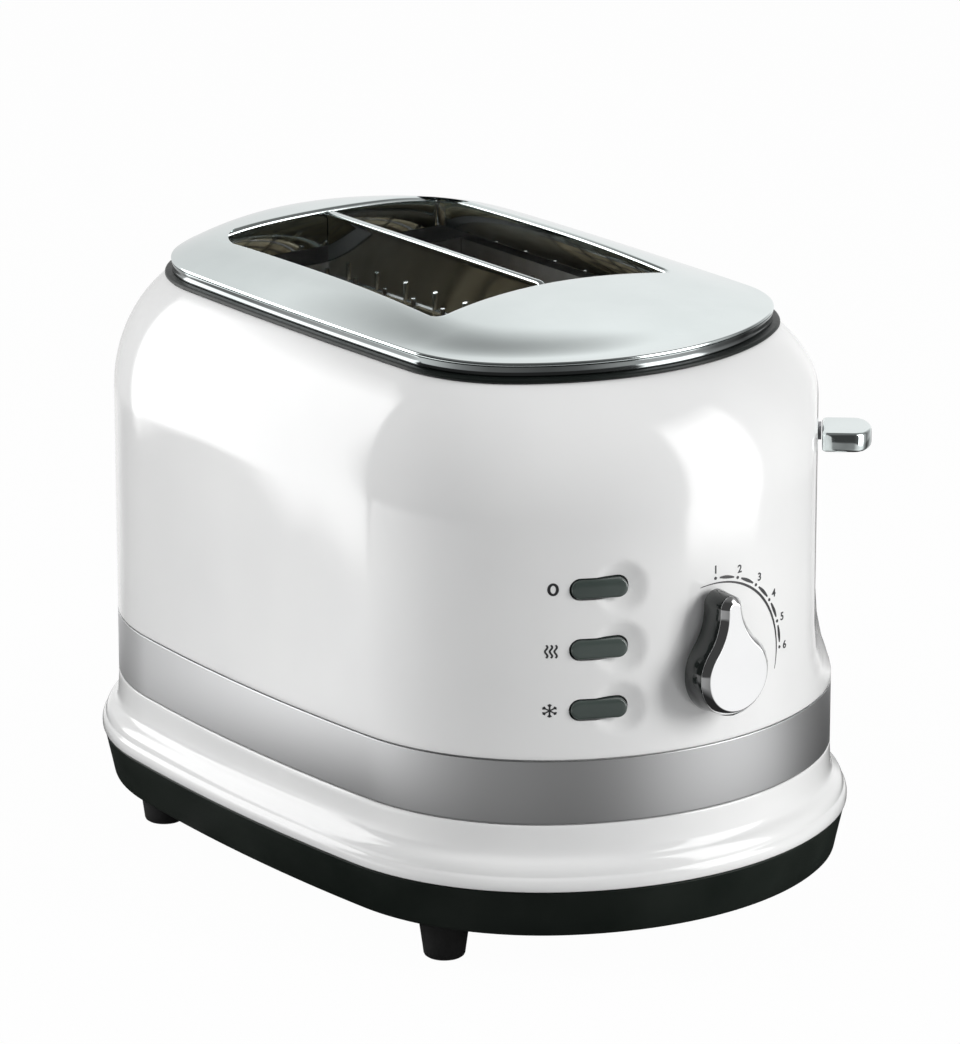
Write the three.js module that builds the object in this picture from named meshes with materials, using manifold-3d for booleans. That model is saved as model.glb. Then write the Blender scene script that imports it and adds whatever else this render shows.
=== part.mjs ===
// Two-slice toaster: enamelled shell on a dark base, brushed band, domed bright top plate,
// corner lever, browning dial and three buttons. Millimetres, +Z up, controls face -Y.
import * as THREE from "three";
import Module from "manifold-3d";
import { mergeVertices } from "three/addons/utils/BufferGeometryUtils.js";

const wasm = await Module();
wasm.setup();

// Clearance between neighbours, running clearance, and how far a cutter passes what it cuts.
const GAP = 0.3;
const RUNNING_GAP = 0.6;
const OVERRUN = 2;

// Plan of the body wall and of the top plate's rim: bowed ends, nearly straight sides, round corners.
const WALL_PLAN = {
  halfWidth: 89.3,
  halfLength: 134.2,
  endRadius: 98.1,
  sideRadius: 730,
  cornerRadius: 74,
};
const SHOULDER_SIDE_INSET = 19.1;
const SHOULDER_END_INSET = 22.8;
const RIM_PLAN = {
  halfWidth: WALL_PLAN.halfWidth - SHOULDER_SIDE_INSET,
  halfLength: WALL_PLAN.halfLength - SHOULDER_END_INSET,
  endRadius: 86.5,
  sideRadius: 2033,
  cornerRadius: 43.3,
};
const SIDE_STEPS = 2;
const CORNER_STEPS = 6;
const END_STEPS = 3;

// Heights of the stack, from the floor up.
const FOOT_HEIGHT = 15.2;
const BASE_TOP = 30.8;
const BAND_BOTTOM = 51.7;
const BAND_TOP = 72.5;
const RIM_HEIGHT = 189;
const DOME_RISE = 11.9;
const DOME_SPAN = 46;
const DOME_POWER = 2.8;

// Shell: pressed sheet with a beaded skirt, a rebate for the band and a round shoulder.
// The skirt's pairs are shares of its height and of the bead's growth.
const SHELL_SHEET = 1.5;
const BEAD_GROWTH = 5.9;
const SKIRT_SHARES = [
  [0, 0.9], [0.03, 1], [0.14, 0.97], [0.24, 0.88], [0.32, 0.77], [0.38, 0.58],
  [0.45, 0.35], [0.55, 0.17], [0.73, 0.05], [1, 0],
];
const SHOULDER_RADIUS = 50;
const SHOULDER_RISE = 40;
const SHOULDER_STEPS = 6;
const LEDGE_WIDTH = 6;

// Band, base and feet.
const BAND_SHEET = 0.8;
const BASE_BOTTOM_GROWTH = 2;
const BASE_TOP_GROWTH = 5.3;
const BASE_CHAMFER = 1;
const BASE_WALL = 3;
const BASE_FLOOR = 2.5;
const FOOT_SIDE_INSET = 20.6;
const FOOT_END_INSET = 54.5;
const FOOT_TOP_RADIUS = 8.8;
const FOOT_BOTTOM_RADIUS = 6.7;
const FOOT_ROUND = 1.2;
const ROUND_SIDES = 12;
const VENT_WIDTH = 3;
const VENT_LENGTH = 56;
const VENT_PITCH = 12;
const VENT_COUNT = 6;
const SCREW_TRAY_OFFSET = 10;
const SCREW_END_INSET = 34.2;
const SCREW_RADIUS = 1.7;
const SCREW_HEAD_RADIUS = 3.4;
const SCREW_HEAD_HEIGHT = 1.4;
const SCREW_LENGTH = 7;
const GLAND_CAGE_OFFSET = 8;
const GLAND_Y = 42;
const GLAND_RADIUS = 5.5;
const GLAND_FLANGE_RADIUS = 8;
const GLAND_FLANGE = 2;
const GLAND_BORE_RADIUS = 3.4;
const GLAND_RISE = 6;

// Top plate and the divider between the slots.
const PLATE_SHEET = 1.2;
const PLATE_EDGE = 3.1;
const PLATE_LIP = 0.6;
const DOME_STEPS = 8;
const DOME_SPACING_POWER = 1.6;
const DOME_MARGIN = 2.3;
const OPENING_SIDE_INSET = 23.2;
const OPENING_FRONT_INSET = 63.9;
const OPENING_BACK_INSET = 33.6;
const COLLAR_DEPTH = 14;
const DIVIDER_SHEET = 1.2;
const DIVIDER_HEM = 2.4;
const DIVIDER_HEM_HEIGHT = 3;
const DIVIDER_DROP = 0.8;
const DIVIDER_DEPTH = 11;

// Cage: end plates, reflectors, heater boards and wire guards.
const CAGE_SHEET = 1;
const CAGE_MARGIN = 1.4;
const CAGE_DROP = 5;
const CAGE_LEG_WIDTH = 7.4;
const REFLECTOR_OFFSET = 5.5;
const REFLECTOR_SHEET = 0.8;
const REFLECTOR_BOTTOM = 36;
const REFLECTOR_FLANGE = 6;
const BOARD_OFFSET = 3.5;
const BOARD_SHEET = 0.9;
const BOARD_BOTTOM = 46;
const BOARD_DROP = 8;
const ELEMENT_SHEET = 0.4;
const ELEMENT_WIDTH = 2.4;
const ELEMENT_RUNS = 9;
const ELEMENT_MARGIN = 9;
const GUARD_INNER_X = 5;
const GUARD_INSET = 2.8;
const GUARD_WIRE_RADIUS = 0.8;
const GUARD_WIRE_SIDES = 6;
const GUARD_WIRES = 8;
const GUARD_BOTTOM = 40;
const GUARD_RAIL_INSET = 6;
const GUARD_END_INSET = 7;

// Lift carriage, its rods, spring, latch and mains switch.
const RACK_BAR_WIDTH = 2;
const RACK_BAR_HEIGHT = 8;
const RACK_DROP = 75;
const RACK_TINES = 7;
const RACK_TINE_CLEARANCE = 6.6;
const RACK_TINE_SIZE = 1.6;
const RACK_TAIL = 3;
const CARRIAGE_SETBACK = 8;
const CARRIAGE_SHEET = 1.4;
const CARRIAGE_SIDE_MARGIN = 8;
const CARRIAGE_DROP = 10;
const CARRIAGE_HEIGHT = 62;
const ROD_ARM_OFFSET = 9.4;
const ROD_SETBACK = 7;
const ROD_RADIUS = 3;
const SLEEVE_RADIUS = 6;
const SLEEVE_RISE = 14;
const SLEEVE_LENGTH = 30;
const SPRING_SETBACK = 10;
const SPRING_RADIUS = 4;
const SPRING_WIRE_RADIUS = 0.6;
const SPRING_TURNS = 15;
const SPRING_STEPS_PER_TURN = 8;
const SPRING_WIRE_SIDES = 5;
const SPRING_LUG_HALF_WIDTH = 6;
const BRIDGE_DROP = 11;
const BRIDGE_REACH = 33;
const BRIDGE_LIP = 6;
const ARMATURE_X = -17;
const ARMATURE_HALF_WIDTH = 9;
const ARMATURE_REACH = 18;
const ARMATURE_HEIGHT = 3.2;
const MAGNET_HEIGHT = 17.2;
const MAGNET_LEG = 5;
const MAGNET_COIL_THICKNESS = 3.4;
const MAGNET_YOKE = 3;
const SWITCH_X = 20;
const SWITCH_HALF_WIDTH = 10;
const SWITCH_HEIGHT = 16;
const SWITCH_SETBACK = 16;
const SWITCH_DEPTH = 12;

// Lever at the front right corner: flat recess, slot, arm and grip.
const LEVER_ANGLE = THREE.MathUtils.degToRad(-40);
const RECESS_DEPTH = 5.6;
const RECESS_REACH = 60;
const RECESS_RAMP_RISE = 7.7;
const RECESS_RAMP_MARGIN = 3.5;
const RECESS_RAMP_SHARES = [[0, 1], [0.12, 0.62], [0.45, 0.3], [1, 0.06]];
const LEVER_DROP = 33.7;
const ARM_WIDTH = 5;
const ARM_HEIGHT = 4.6;
const LEVER_SLOT_CLEARANCE = 1;
const GRIP_START = 1.4;
const GRIP_LENGTH = 12.6;
const GRIP_BULGE = 3.2;
const GRIP_HALF_WIDTH = 10;
const GRIP_HEIGHT = 6.4;
const GRIP_ROUND = 1.2;
const GRIP_ARC_STEPS = 6;

// Browning dial at the front: teardrop knob with hollow flanks, bright chamfered face, shaft and timer.
const KNOB_X = -3.7;
const KNOB_HEIGHT = 98.1;
const KNOB_REACH = 12;
const KNOB_RADIUS = 13.3;
const KNOB_TIP = 26;
const KNOB_TIP_RADIUS = 4.1;
const KNOB_FLANK_RADIUS = 19.6;
const KNOB_TURN = THREE.MathUtils.degToRad(4.6);
const KNOB_STANDOFF = 2;
const KNOB_BACK_GROWTH = 0.6;
const KNOB_CAP_EDGE = 0.4;
const KNOB_CHAMFER = 1.9;
const KNOB_ARC_STEPS = 5;
const SHAFT_RADIUS = 3;
const SHAFT_BITE = 5;
const TIMER_HALF_WIDTH = 8.5;
const TIMER_DEPTH = 9;
const TIMER_SETBACK = 5;
const TIMER_BOARD_HALF_WIDTH = 17;
const TIMER_BOARD_DROP = 38;
const TIMER_BOARD_RISE = 22;

// Three buttons left of the dial; their heights are shares of the wall between band and shoulder.
const BUTTON_X = -42;
const BUTTON_HEIGHT_SHARES = [0.75, 0.493, 0.235];
const BUTTON_NAMES = ["cancel", "reheat", "defrost"];
const BUTTON_HALF_LENGTH = 8.9;
const BUTTON_HALF_HEIGHT = 4.2;
const BUTTON_PROUD = 1.6;
const BUTTON_BODY = 5.4;
const BUTTON_FLANGE = 1.4;
const BUTTON_FLANGE_THICKNESS = 1;
const BUTTON_TRAVEL = 2;
const BUTTON_ARC_STEPS = 5;
const DIMPLE_RADIUS = 8.5;
const DIMPLE_DEPTH = 2.2;
const DIMPLE_SHARES = [[0, 1], [0.4, 0.84], [0.75, 0.44], [1, 0]];
const DIMPLE_SHIFT = 7;
const DIMPLE_SIDES = 20;
const DIMPLE_BOSS = 1.1;
const SWITCH_BODY_HALF = 3;
const SWITCH_BODY_DEPTH = 4;
const BOARD_THICKNESS = 1.6;
const BUTTON_BOARD_HALF_WIDTH = 10;
const BUTTON_BOARD_MARGIN = 9;
const BRACKET_SHEET = 2;
const BRACKET_REACH = 4.9;
const BRACKET_OVERLAP = 2.5;
const BRACKET_TOP_MARGIN = 4;

// Crumb tray.
const TRAY_SHEET = 0.8;
const TRAY_LIP = 6;
const TRAY_FLOOR_CLEARANCE = 1.4;
const TRAY_SETBACK = 4.9;
const TRAY_PULL_HALF_WIDTH = 22;
const TRAY_PULL_REACH = 6;
const TRAY_BACK_GROWTH = 1.8;
const RUNNER_WIDTH = 4;
const RUNNER_LIP = 2;

// Derived planes that several pieces share.
const FLOOR_TOP = FOOT_HEIGHT + BASE_FLOOR;
const REST = FLOOR_TOP + GAP;
const LEDGE_TOP = RIM_HEIGHT - GAP;
const DOME_FOOT = RIM_HEIGHT + PLATE_EDGE;
const CROWN = DOME_FOOT + DOME_RISE;
const SHOULDER_START = LEDGE_TOP - SHOULDER_RISE;
const OPENING_HALF_WIDTH = RIM_PLAN.halfWidth - OPENING_SIDE_INSET;
const OPENING_FRONT = OPENING_FRONT_INSET - RIM_PLAN.halfLength;
const OPENING_BACK = RIM_PLAN.halfLength - OPENING_BACK_INSET;
const DIVIDER_BOTTOM = RIM_HEIGHT - DIVIDER_DEPTH;
const GUARD_OUTER_X = OPENING_HALF_WIDTH - GUARD_INSET;
const BOARD_X = OPENING_HALF_WIDTH + BOARD_OFFSET;
const REFLECTOR_X = BOARD_X + REFLECTOR_OFFSET;
const CAGE_HALF_WIDTH = REFLECTOR_X + REFLECTOR_FLANGE;
const CAGE_TOP = RIM_HEIGHT - CAGE_DROP;
const BOARD_TOP = CAGE_TOP - BOARD_DROP;
const CAGE_FRONT = OPENING_FRONT - CAGE_MARGIN;
const CAGE_BACK = OPENING_BACK + CAGE_MARGIN;
const CAGE_ARCH_HALF_WIDTH = CAGE_HALF_WIDTH - CAGE_LEG_WIDTH;
const TRAY_HALF_WIDTH = CAGE_ARCH_HALF_WIDTH - RUNNING_GAP - RUNNER_WIDTH;
const TRAY_FRONT = CAGE_FRONT + TRAY_SETBACK;
const FOOT_X = WALL_PLAN.halfWidth - FOOT_SIDE_INSET;
const FOOT_Y = WALL_PLAN.halfLength - FOOT_END_INSET;
const SCREW_X = TRAY_HALF_WIDTH + SCREW_TRAY_OFFSET;
const SCREW_Y = WALL_PLAN.halfLength - SCREW_END_INSET;
const GLAND_X = CAGE_HALF_WIDTH + GLAND_CAGE_OFFSET;
const RACK_X = (GUARD_INNER_X + GUARD_OUTER_X) / 2;
const RACK_TINE_REACH = (GUARD_OUTER_X - GUARD_INNER_X) / 2 - RACK_TINE_CLEARANCE;
const RACK_TOP = RIM_HEIGHT - RACK_DROP;
const CARRIAGE_BOTTOM = RACK_TOP - CARRIAGE_DROP;
const CARRIAGE_TOP = CARRIAGE_BOTTOM + CARRIAGE_HEIGHT;
const SLEEVE_BOTTOM = CARRIAGE_BOTTOM + SLEEVE_RISE;
const SLEEVE_TOP = SLEEVE_BOTTOM + SLEEVE_LENGTH;
const BRIDGE_BOTTOM = RIM_HEIGHT - BRIDGE_DROP;
const CARRIAGE_BACK = CAGE_FRONT - CAGE_SHEET - CARRIAGE_SETBACK;
const CARRIAGE_FRONT = CARRIAGE_BACK - CARRIAGE_SHEET;
const ROD_Y = CARRIAGE_FRONT - ROD_SETBACK;
const SPRING_Y = CARRIAGE_FRONT - SPRING_SETBACK;
const LUG_TOP = CARRIAGE_BOTTOM + CARRIAGE_SHEET;
const ARMATURE_TOP = CARRIAGE_BOTTOM - GAP;
const ARMATURE_BOTTOM = ARMATURE_TOP - ARMATURE_HEIGHT;
const MAGNET_TOP = REST + MAGNET_HEIGHT;
const TRAVEL = ARMATURE_BOTTOM - MAGNET_TOP - GAP;
const LEVER_HEIGHT = RIM_HEIGHT - LEVER_DROP;
const LEVER_LOW = LEVER_HEIGHT - TRAVEL;
const RECESS_RAMP_TOP = LEVER_LOW + RECESS_RAMP_RISE;
const RECESS_RAMP_BOTTOM = BAND_TOP + RECESS_RAMP_MARGIN;
const FRONT_WALL = -WALL_PLAN.halfLength;
const KNOB_FACE = FRONT_WALL - KNOB_REACH;
const KNOB_BACK = FRONT_WALL - KNOB_STANDOFF;
const KNOB_SEAT = KNOB_FACE + KNOB_CHAMFER + KNOB_CAP_EDGE;
const TRAY_BOTTOM = FLOOR_TOP + TRAY_FLOOR_CLEARANCE;
const TRAY_TOP = TRAY_BOTTOM + TRAY_LIP;
const PLAIN_WALL = SHOULDER_START - BAND_TOP;
const BUTTON_HEIGHTS = BUTTON_HEIGHT_SHARES.map((share) => BAND_TOP + share * PLAIN_WALL);

// Frames on the wall, and where the lever's arm passes the rods.
const DIAL_FRAME = { x: KNOB_X, y: 0, angle: -Math.PI / 2 };
const BUTTON_FRAME = frontFrame(BUTTON_X);
const DIMPLE_FRAME = frontFrame(BUTTON_X + DIMPLE_SHIFT * Math.sin(-BUTTON_FRAME.angle));
const LEVER_FRAME = leverFrame();
const ARM_PASS_X = LEVER_FRAME.x + (ROD_Y - LEVER_FRAME.y) / Math.tan(LEVER_ANGLE);
const ROD_X = ARM_PASS_X + ROD_ARM_OFFSET;
const CARRIAGE_HALF_WIDTH = ROD_X + CARRIAGE_SIDE_MARGIN;

const FINISH = {
  enamel: { color: 0xf2f1ee, roughness: 0.18, metalness: 0 },
  brushed: { color: 0xb9bbbd, roughness: 0.38, metalness: 1 },
  bright: { color: 0xdfe1e3, roughness: 0.06, metalness: 1 },
  base: { color: 0x1b201c, roughness: 0.45, metalness: 0 },
  rubber: { color: 0x111312, roughness: 0.8, metalness: 0 },
  sheet: { color: 0x9a9c9e, roughness: 0.4, metalness: 1 },
  mica: { color: 0xb9a98a, roughness: 0.7, metalness: 0 },
  gloss: { color: 0x1d2322, roughness: 0.12, metalness: 0 },
  board: { color: 0x2f5b3a, roughness: 0.6, metalness: 0 },
  copper: { color: 0xa8622f, roughness: 0.35, metalness: 1 },
};

// Adds one named piece to a group and returns it.
function piece(group, name, geometry, finish) {
  const mesh = new THREE.Mesh(geometry, new THREE.MeshStandardMaterial(FINISH[finish]));
  mesh.name = name;
  group.add(mesh);
  return mesh;
}

// A closed geometry as a solid for cutting and joining.
function solidOf(geometry) {
  const bare = geometry.clone();
  bare.deleteAttribute("normal");
  bare.deleteAttribute("uv");
  const merged = mergeVertices(bare);
  const triVerts = new Uint32Array(merged.index.array);
  const vertProperties = merged.attributes.position.array;
  return new wasm.Manifold(new wasm.Mesh({ numProp: 3, vertProperties, triVerts }));
}

// A solid back as a geometry.
function geometryOf(solid) {
  const mesh = solid.getMesh();
  const geometry = new THREE.BufferGeometry();
  geometry.setAttribute("position", new THREE.BufferAttribute(new Float32Array(mesh.vertProperties), 3));
  geometry.setIndex(new THREE.BufferAttribute(new Uint32Array(mesh.triVerts), 1));
  const flat = geometry.toNonIndexed();
  flat.computeVertexNormals();
  return flat;
}

// Joins any number of closed geometries.
function join(first, ...others) {
  return geometryOf(others.reduce((sum, next) => sum.add(solidOf(next)), solidOf(first)));
}

// Takes any number of closed geometries out of the first.
function cut(first, ...cutters) {
  return geometryOf(cutters.reduce((rest, next) => rest.subtract(solidOf(next)), solidOf(first)));
}

// What two closed geometries have in common.
function common(first, second) {
  return geometryOf(solidOf(first).intersect(solidOf(second)));
}

// A block between two corners.
function block(x0, x1, y0, y1, z0, z1) {
  const geometry = new THREE.BoxGeometry(x1 - x0, y1 - y0, z1 - z0);
  return geometry.translate((x0 + x1) / 2, (y0 + y1) / 2, (z0 + z1) / 2);
}

// A block that is centred on x.
function slab(halfWidth, y0, y1, z0, z1) {
  return block(-halfWidth, halfWidth, y0, y1, z0, z1);
}

// An upright round post.
function post(radius, z0, z1, sides = ROUND_SIDES) {
  const geometry = new THREE.CylinderGeometry(radius, radius, z1 - z0, sides);
  return geometry.rotateX(Math.PI / 2).translate(0, 0, (z0 + z1) / 2);
}

// A turned piece from radius and height pairs, upright.
function turned(profile, sides = ROUND_SIDES) {
  const points = profile.map(([radius, height]) => new THREE.Vector2(radius, height));
  return new THREE.LatheGeometry(points, sides).rotateX(Math.PI / 2);
}

// An outline pushed straight up from z0 to z1.
function prism(points, z0, z1) {
  const shape = new THREE.Shape(points.map(([x, y]) => new THREE.Vector2(x, y)));
  return new THREE.ExtrudeGeometry(shape, { depth: z1 - z0, bevelEnabled: false }).translate(0, 0, z0);
}

// Turns a shape drawn flat, with its depth up, so that it stands and its depth runs along +X.
function standing(geometry) {
  const turn = new THREE.Matrix4().makeBasis(
    new THREE.Vector3(0, 1, 0),
    new THREE.Vector3(0, 0, 1),
    new THREE.Vector3(1, 0, 0),
  );
  return geometry.applyMatrix4(turn);
}

// An outline given across and up, pushed out along +X from x0 to x1.
function plaque(points, x0, x1) {
  return standing(prism(points, x0, x1));
}

// A profile given along x and up, pushed along y from y0 to y1.
function rail(points, y0, y1) {
  const turn = new THREE.Matrix4().makeBasis(
    new THREE.Vector3(1, 0, 0),
    new THREE.Vector3(0, 0, 1),
    new THREE.Vector3(0, -1, 0),
  );
  return prism(points, -y1, -y0).applyMatrix4(turn);
}

// A geometry moved into a frame whose +X points out of a wall.
function inFrame(geometry, frame) {
  return geometry.clone().rotateZ(frame.angle).translate(frame.x, frame.y, 0);
}

// A group at such a frame.
function groupAt(frame) {
  const group = new THREE.Group();
  group.position.set(frame.x, frame.y, 0);
  group.rotation.z = frame.angle;
  return group;
}

// Centre of a plan's corner arc and the angles where it meets the side and end arcs.
function cornerArc(plan) {
  const endY = plan.halfLength - plan.endRadius;
  const sideX = plan.halfWidth - plan.sideRadius;
  const endReach = plan.endRadius - plan.cornerRadius;
  const sideReach = plan.sideRadius - plan.cornerRadius;
  const span = Math.hypot(sideX, endY);
  const along = (endReach ** 2 - sideReach ** 2 + span ** 2) / (2 * span);
  const across = Math.sqrt(Math.max(endReach ** 2 - along ** 2, 0));
  const ux = sideX / span;
  const uy = -endY / span;
  const x = along * ux - across * uy;
  const y = endY + along * uy + across * ux;
  const flipX = along * ux + across * uy;
  const flipY = endY + along * uy - across * ux;
  const [cx, cy] = x + y > flipX + flipY ? [x, y] : [flipX, flipY];
  return {
    x: cx,
    y: cy,
    endY,
    sideX,
    start: Math.atan2(cy, cx - sideX),
    finish: Math.atan2(cy - endY, cx),
  };
}

// Points of a plan grown evenly by an offset, anticlockwise from +X.
function outline(plan, growth = 0) {
  const arc = cornerArc(plan);
  const quarter = [];
  const sweep = (x, y, radius, from, to, steps) => {
    for (let i = 0; i < steps; i += 1) {
      const angle = from + ((to - from) * i) / steps;
      quarter.push([x + radius * Math.cos(angle), y + radius * Math.sin(angle)]);
    }
  };
  sweep(arc.sideX, 0, plan.sideRadius + growth, 0, arc.start, SIDE_STEPS);
  sweep(arc.x, arc.y, plan.cornerRadius + growth, arc.start, arc.finish, CORNER_STEPS);
  sweep(0, arc.endY, plan.endRadius + growth, arc.finish, Math.PI / 2, END_STEPS);
  quarter.push([0, plan.halfLength + growth]);
  const back = quarter.slice(1, -1).reverse().map(([x, y]) => [-x, y]);
  const half = [...quarter, ...back];
  const first = [-quarter[0][0], 0];
  const front = [first, ...half.slice(1).reverse().map(([x, y]) => [x, -y])];
  return [...half, ...front];
}

// Half-way house between two outlines of the same count.
function between(first, second, share) {
  return first.map(([x, y], i) => [x + (second[i][0] - x) * share, y + (second[i][1] - y) * share]);
}

// A level ring of points.
function level(points, z) {
  return points.map(([x, y]) => [x, y, z]);
}

// A skin through rings that go up outside. Closed on itself it is a tube, else its ends are capped.
function loft(rings, closedLoop = false) {
  const count = rings[0].length;
  const positions = rings.flat(2);
  const index = [];
  const bands = closedLoop ? rings.length : rings.length - 1;
  for (let i = 0; i < bands; i += 1) {
    const low = i * count;
    const high = ((i + 1) % rings.length) * count;
    for (let j = 0; j < count; j += 1) {
      const next = (j + 1) % count;
      index.push(low + j, low + next, high + next, low + j, high + next, high + j);
    }
  }
  if (!closedLoop) capEnds(rings, positions, index);
  const geometry = new THREE.BufferGeometry();
  geometry.setAttribute("position", new THREE.Float32BufferAttribute(positions, 3));
  geometry.setIndex(index);
  const flat = geometry.toNonIndexed();
  flat.computeVertexNormals();
  return flat;
}

// Fans that close a loft's first and last ring about their middles.
function capEnds(rings, positions, index) {
  const count = rings[0].length;
  const ends = [[rings[0], 0, -1], [rings[rings.length - 1], (rings.length - 1) * count, 1]];
  for (const [ring, start, side] of ends) {
    const middle = positions.length / 3;
    for (const axis of [0, 1, 2]) {
      positions.push(ring.reduce((sum, point) => sum + point[axis], 0) / count);
    }
    for (let j = 0; j < count; j += 1) {
      const next = (j + 1) % count;
      if (side > 0) index.push(middle, start + j, start + next);
      else index.push(middle, start + next, start + j);
    }
  }
}

// Where a wall stands at a given x on the front, and the angle of its outward normal.
function frontFrame(x) {
  const arc = cornerArc(WALL_PLAN);
  const lean = Math.asin(x / WALL_PLAN.endRadius);
  return { x, y: -arc.endY - WALL_PLAN.endRadius * Math.cos(lean), angle: lean - Math.PI / 2 };
}

// The frame on the flat of the lever's recess.
function leverFrame() {
  const arc = cornerArc(WALL_PLAN);
  const reach = WALL_PLAN.cornerRadius - RECESS_DEPTH;
  const x = arc.x + reach * Math.cos(LEVER_ANGLE);
  return { x, y: -arc.y + reach * Math.sin(LEVER_ANGLE), angle: LEVER_ANGLE };
}

// A pill outline about the origin.
function pill(halfLength, halfHeight) {
  const points = [];
  const flat = halfLength - halfHeight;
  for (const side of [1, -1]) {
    for (let i = 0; i <= BUTTON_ARC_STEPS; i += 1) {
      const angle = (side > 0 ? -Math.PI / 2 : Math.PI / 2) + (Math.PI * i) / BUTTON_ARC_STEPS;
      points.push([side * flat + halfHeight * Math.cos(angle), halfHeight * Math.sin(angle)]);
    }
  }
  return points;
}

// Points along an arc, with its two ends or without them.
function arcPoints(x, y, radius, from, to, steps, ends = true) {
  const points = [];
  for (let i = ends ? 0 : 1; i < (ends ? steps + 1 : steps); i += 1) {
    const angle = from + ((to - from) * i) / steps;
    points.push([x + radius * Math.cos(angle), y + radius * Math.sin(angle)]);
  }
  return points;
}

// The knob's teardrop outline about its axis, drawn in by an inset: belly, hollow flanks and tip.
function teardrop(inset) {
  const tipHeight = KNOB_TIP - KNOB_TIP_RADIUS;
  const bellyReach = KNOB_RADIUS + KNOB_FLANK_RADIUS;
  const tipReach = KNOB_TIP_RADIUS + KNOB_FLANK_RADIUS;
  const height = (bellyReach ** 2 - tipReach ** 2 + tipHeight ** 2) / (2 * tipHeight);
  const out = Math.sqrt(Math.max(bellyReach ** 2 - height ** 2, 0));
  const belly = Math.atan2(height, out);
  const tip = Math.atan2(height - tipHeight, out);
  const flank = KNOB_FLANK_RADIUS + inset;
  const steps = KNOB_ARC_STEPS;
  const points = [
    ...arcPoints(0, 0, KNOB_RADIUS - inset, Math.PI - belly, Math.PI * 2 + belly, steps * 3),
    ...arcPoints(out, height, flank, Math.PI + belly, Math.PI + tip, steps, false),
    ...arcPoints(0, tipHeight, KNOB_TIP_RADIUS - inset, tip, Math.PI - tip, steps),
    ...arcPoints(-out, height, flank, -tip, -belly, steps, false),
  ];
  const [cos, sin] = [Math.cos(KNOB_TURN), Math.sin(KNOB_TURN)];
  return points.map(([x, y]) => [x * cos - y * sin, x * sin + y * cos]);
}

// One ring of the shell's skin: how far up, how far out, and how far round the shoulder.
function shellRing(height, growth, share = 0) {
  return level(between(outline(WALL_PLAN, growth), outline(RIM_PLAN, growth), share), height);
}

// The shell's outer skin from the skirt to the top edge, with its sheet thickness taken off.
function shellSkin(sheet) {
  const skirtBottom = BASE_TOP + GAP;
  const rebate = BAND_SHEET + GAP;
  const skirtTop = BAND_BOTTOM - GAP - sheet;
  const rings = SKIRT_SHARES.map(([up, out]) =>
    shellRing(skirtBottom + (skirtTop - skirtBottom) * up, BEAD_GROWTH * out - sheet),
  );
  rings.push(shellRing(skirtTop, -rebate - sheet));
  rings.push(shellRing(BAND_TOP + GAP + sheet, -rebate - sheet));
  rings.push(shellRing(BAND_TOP + GAP + sheet, -sheet));
  const lean = Math.asin(SHOULDER_RISE / SHOULDER_RADIUS);
  const fullInset = 1 - Math.cos(lean);
  for (let i = 0; i <= SHOULDER_STEPS; i += 1) {
    const angle = (lean * i) / SHOULDER_STEPS;
    const height = SHOULDER_START + (SHOULDER_RADIUS - sheet) * Math.sin(angle);
    rings.push(shellRing(height, -sheet * Math.cos(angle), (1 - Math.cos(angle)) / fullInset));
  }
  return rings;
}

// What the lever's recess takes off the corner, set in by an amount.
function recessCutter(inset) {
  const height = RECESS_RAMP_TOP - RECESS_RAMP_BOTTOM;
  const points = RECESS_RAMP_SHARES.map(([out, up]) => [
    out * RECESS_DEPTH - inset,
    RECESS_RAMP_BOTTOM + up * height - inset,
  ]);
  points.push([RECESS_DEPTH + OVERRUN, RECESS_RAMP_BOTTOM - inset]);
  points.push([RECESS_DEPTH + SHOULDER_RISE, RECESS_RAMP_BOTTOM - inset]);
  points.push([RECESS_DEPTH + SHOULDER_RISE, RIM_HEIGHT + OVERRUN]);
  points.push([-inset, RIM_HEIGHT + OVERRUN]);
  return inFrame(rail(points, -RECESS_REACH, RECESS_REACH), LEVER_FRAME);
}

// The upright slot that the lever's arm runs in.
function leverSlotCutter() {
  const half = ARM_WIDTH / 2 + LEVER_SLOT_CLEARANCE;
  const reach = ARM_HEIGHT / 2 + LEVER_SLOT_CLEARANCE;
  const depth = SHELL_SHEET + OVERRUN;
  return inFrame(
    block(-depth, depth, -half, half, LEVER_LOW - reach, LEVER_HEIGHT + reach),
    LEVER_FRAME,
  );
}

// A round dish in the wall beside a button, and the thicker sheet behind it.
function dimple(height) {
  const rise = DIMPLE_DEPTH * 2;
  const bowl = DIMPLE_SHARES.map(([out, down]) => [DIMPLE_RADIUS * out, -DIMPLE_DEPTH * down]);
  const dish = turned([...bowl, [DIMPLE_RADIUS, rise], [0, rise]], DIMPLE_SIDES);
  const backing = post(DIMPLE_RADIUS, -DIMPLE_DEPTH - DIMPLE_BOSS, -SHELL_SHEET / 2, DIMPLE_SIDES);
  const place = (geometry) => inFrame(standing(geometry).translate(0, 0, height), DIMPLE_FRAME);
  return { dish: place(dish), backing: place(backing) };
}

// A pill hole through the wall for a button.
function buttonHole(height) {
  const depth = SHELL_SHEET + DIMPLE_BOSS + OVERRUN;
  const hole = plaque(pill(BUTTON_HALF_LENGTH + GAP, BUTTON_HALF_HEIGHT + GAP), -depth, depth);
  return inFrame(hole.translate(0, 0, height), BUTTON_FRAME);
}

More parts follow.
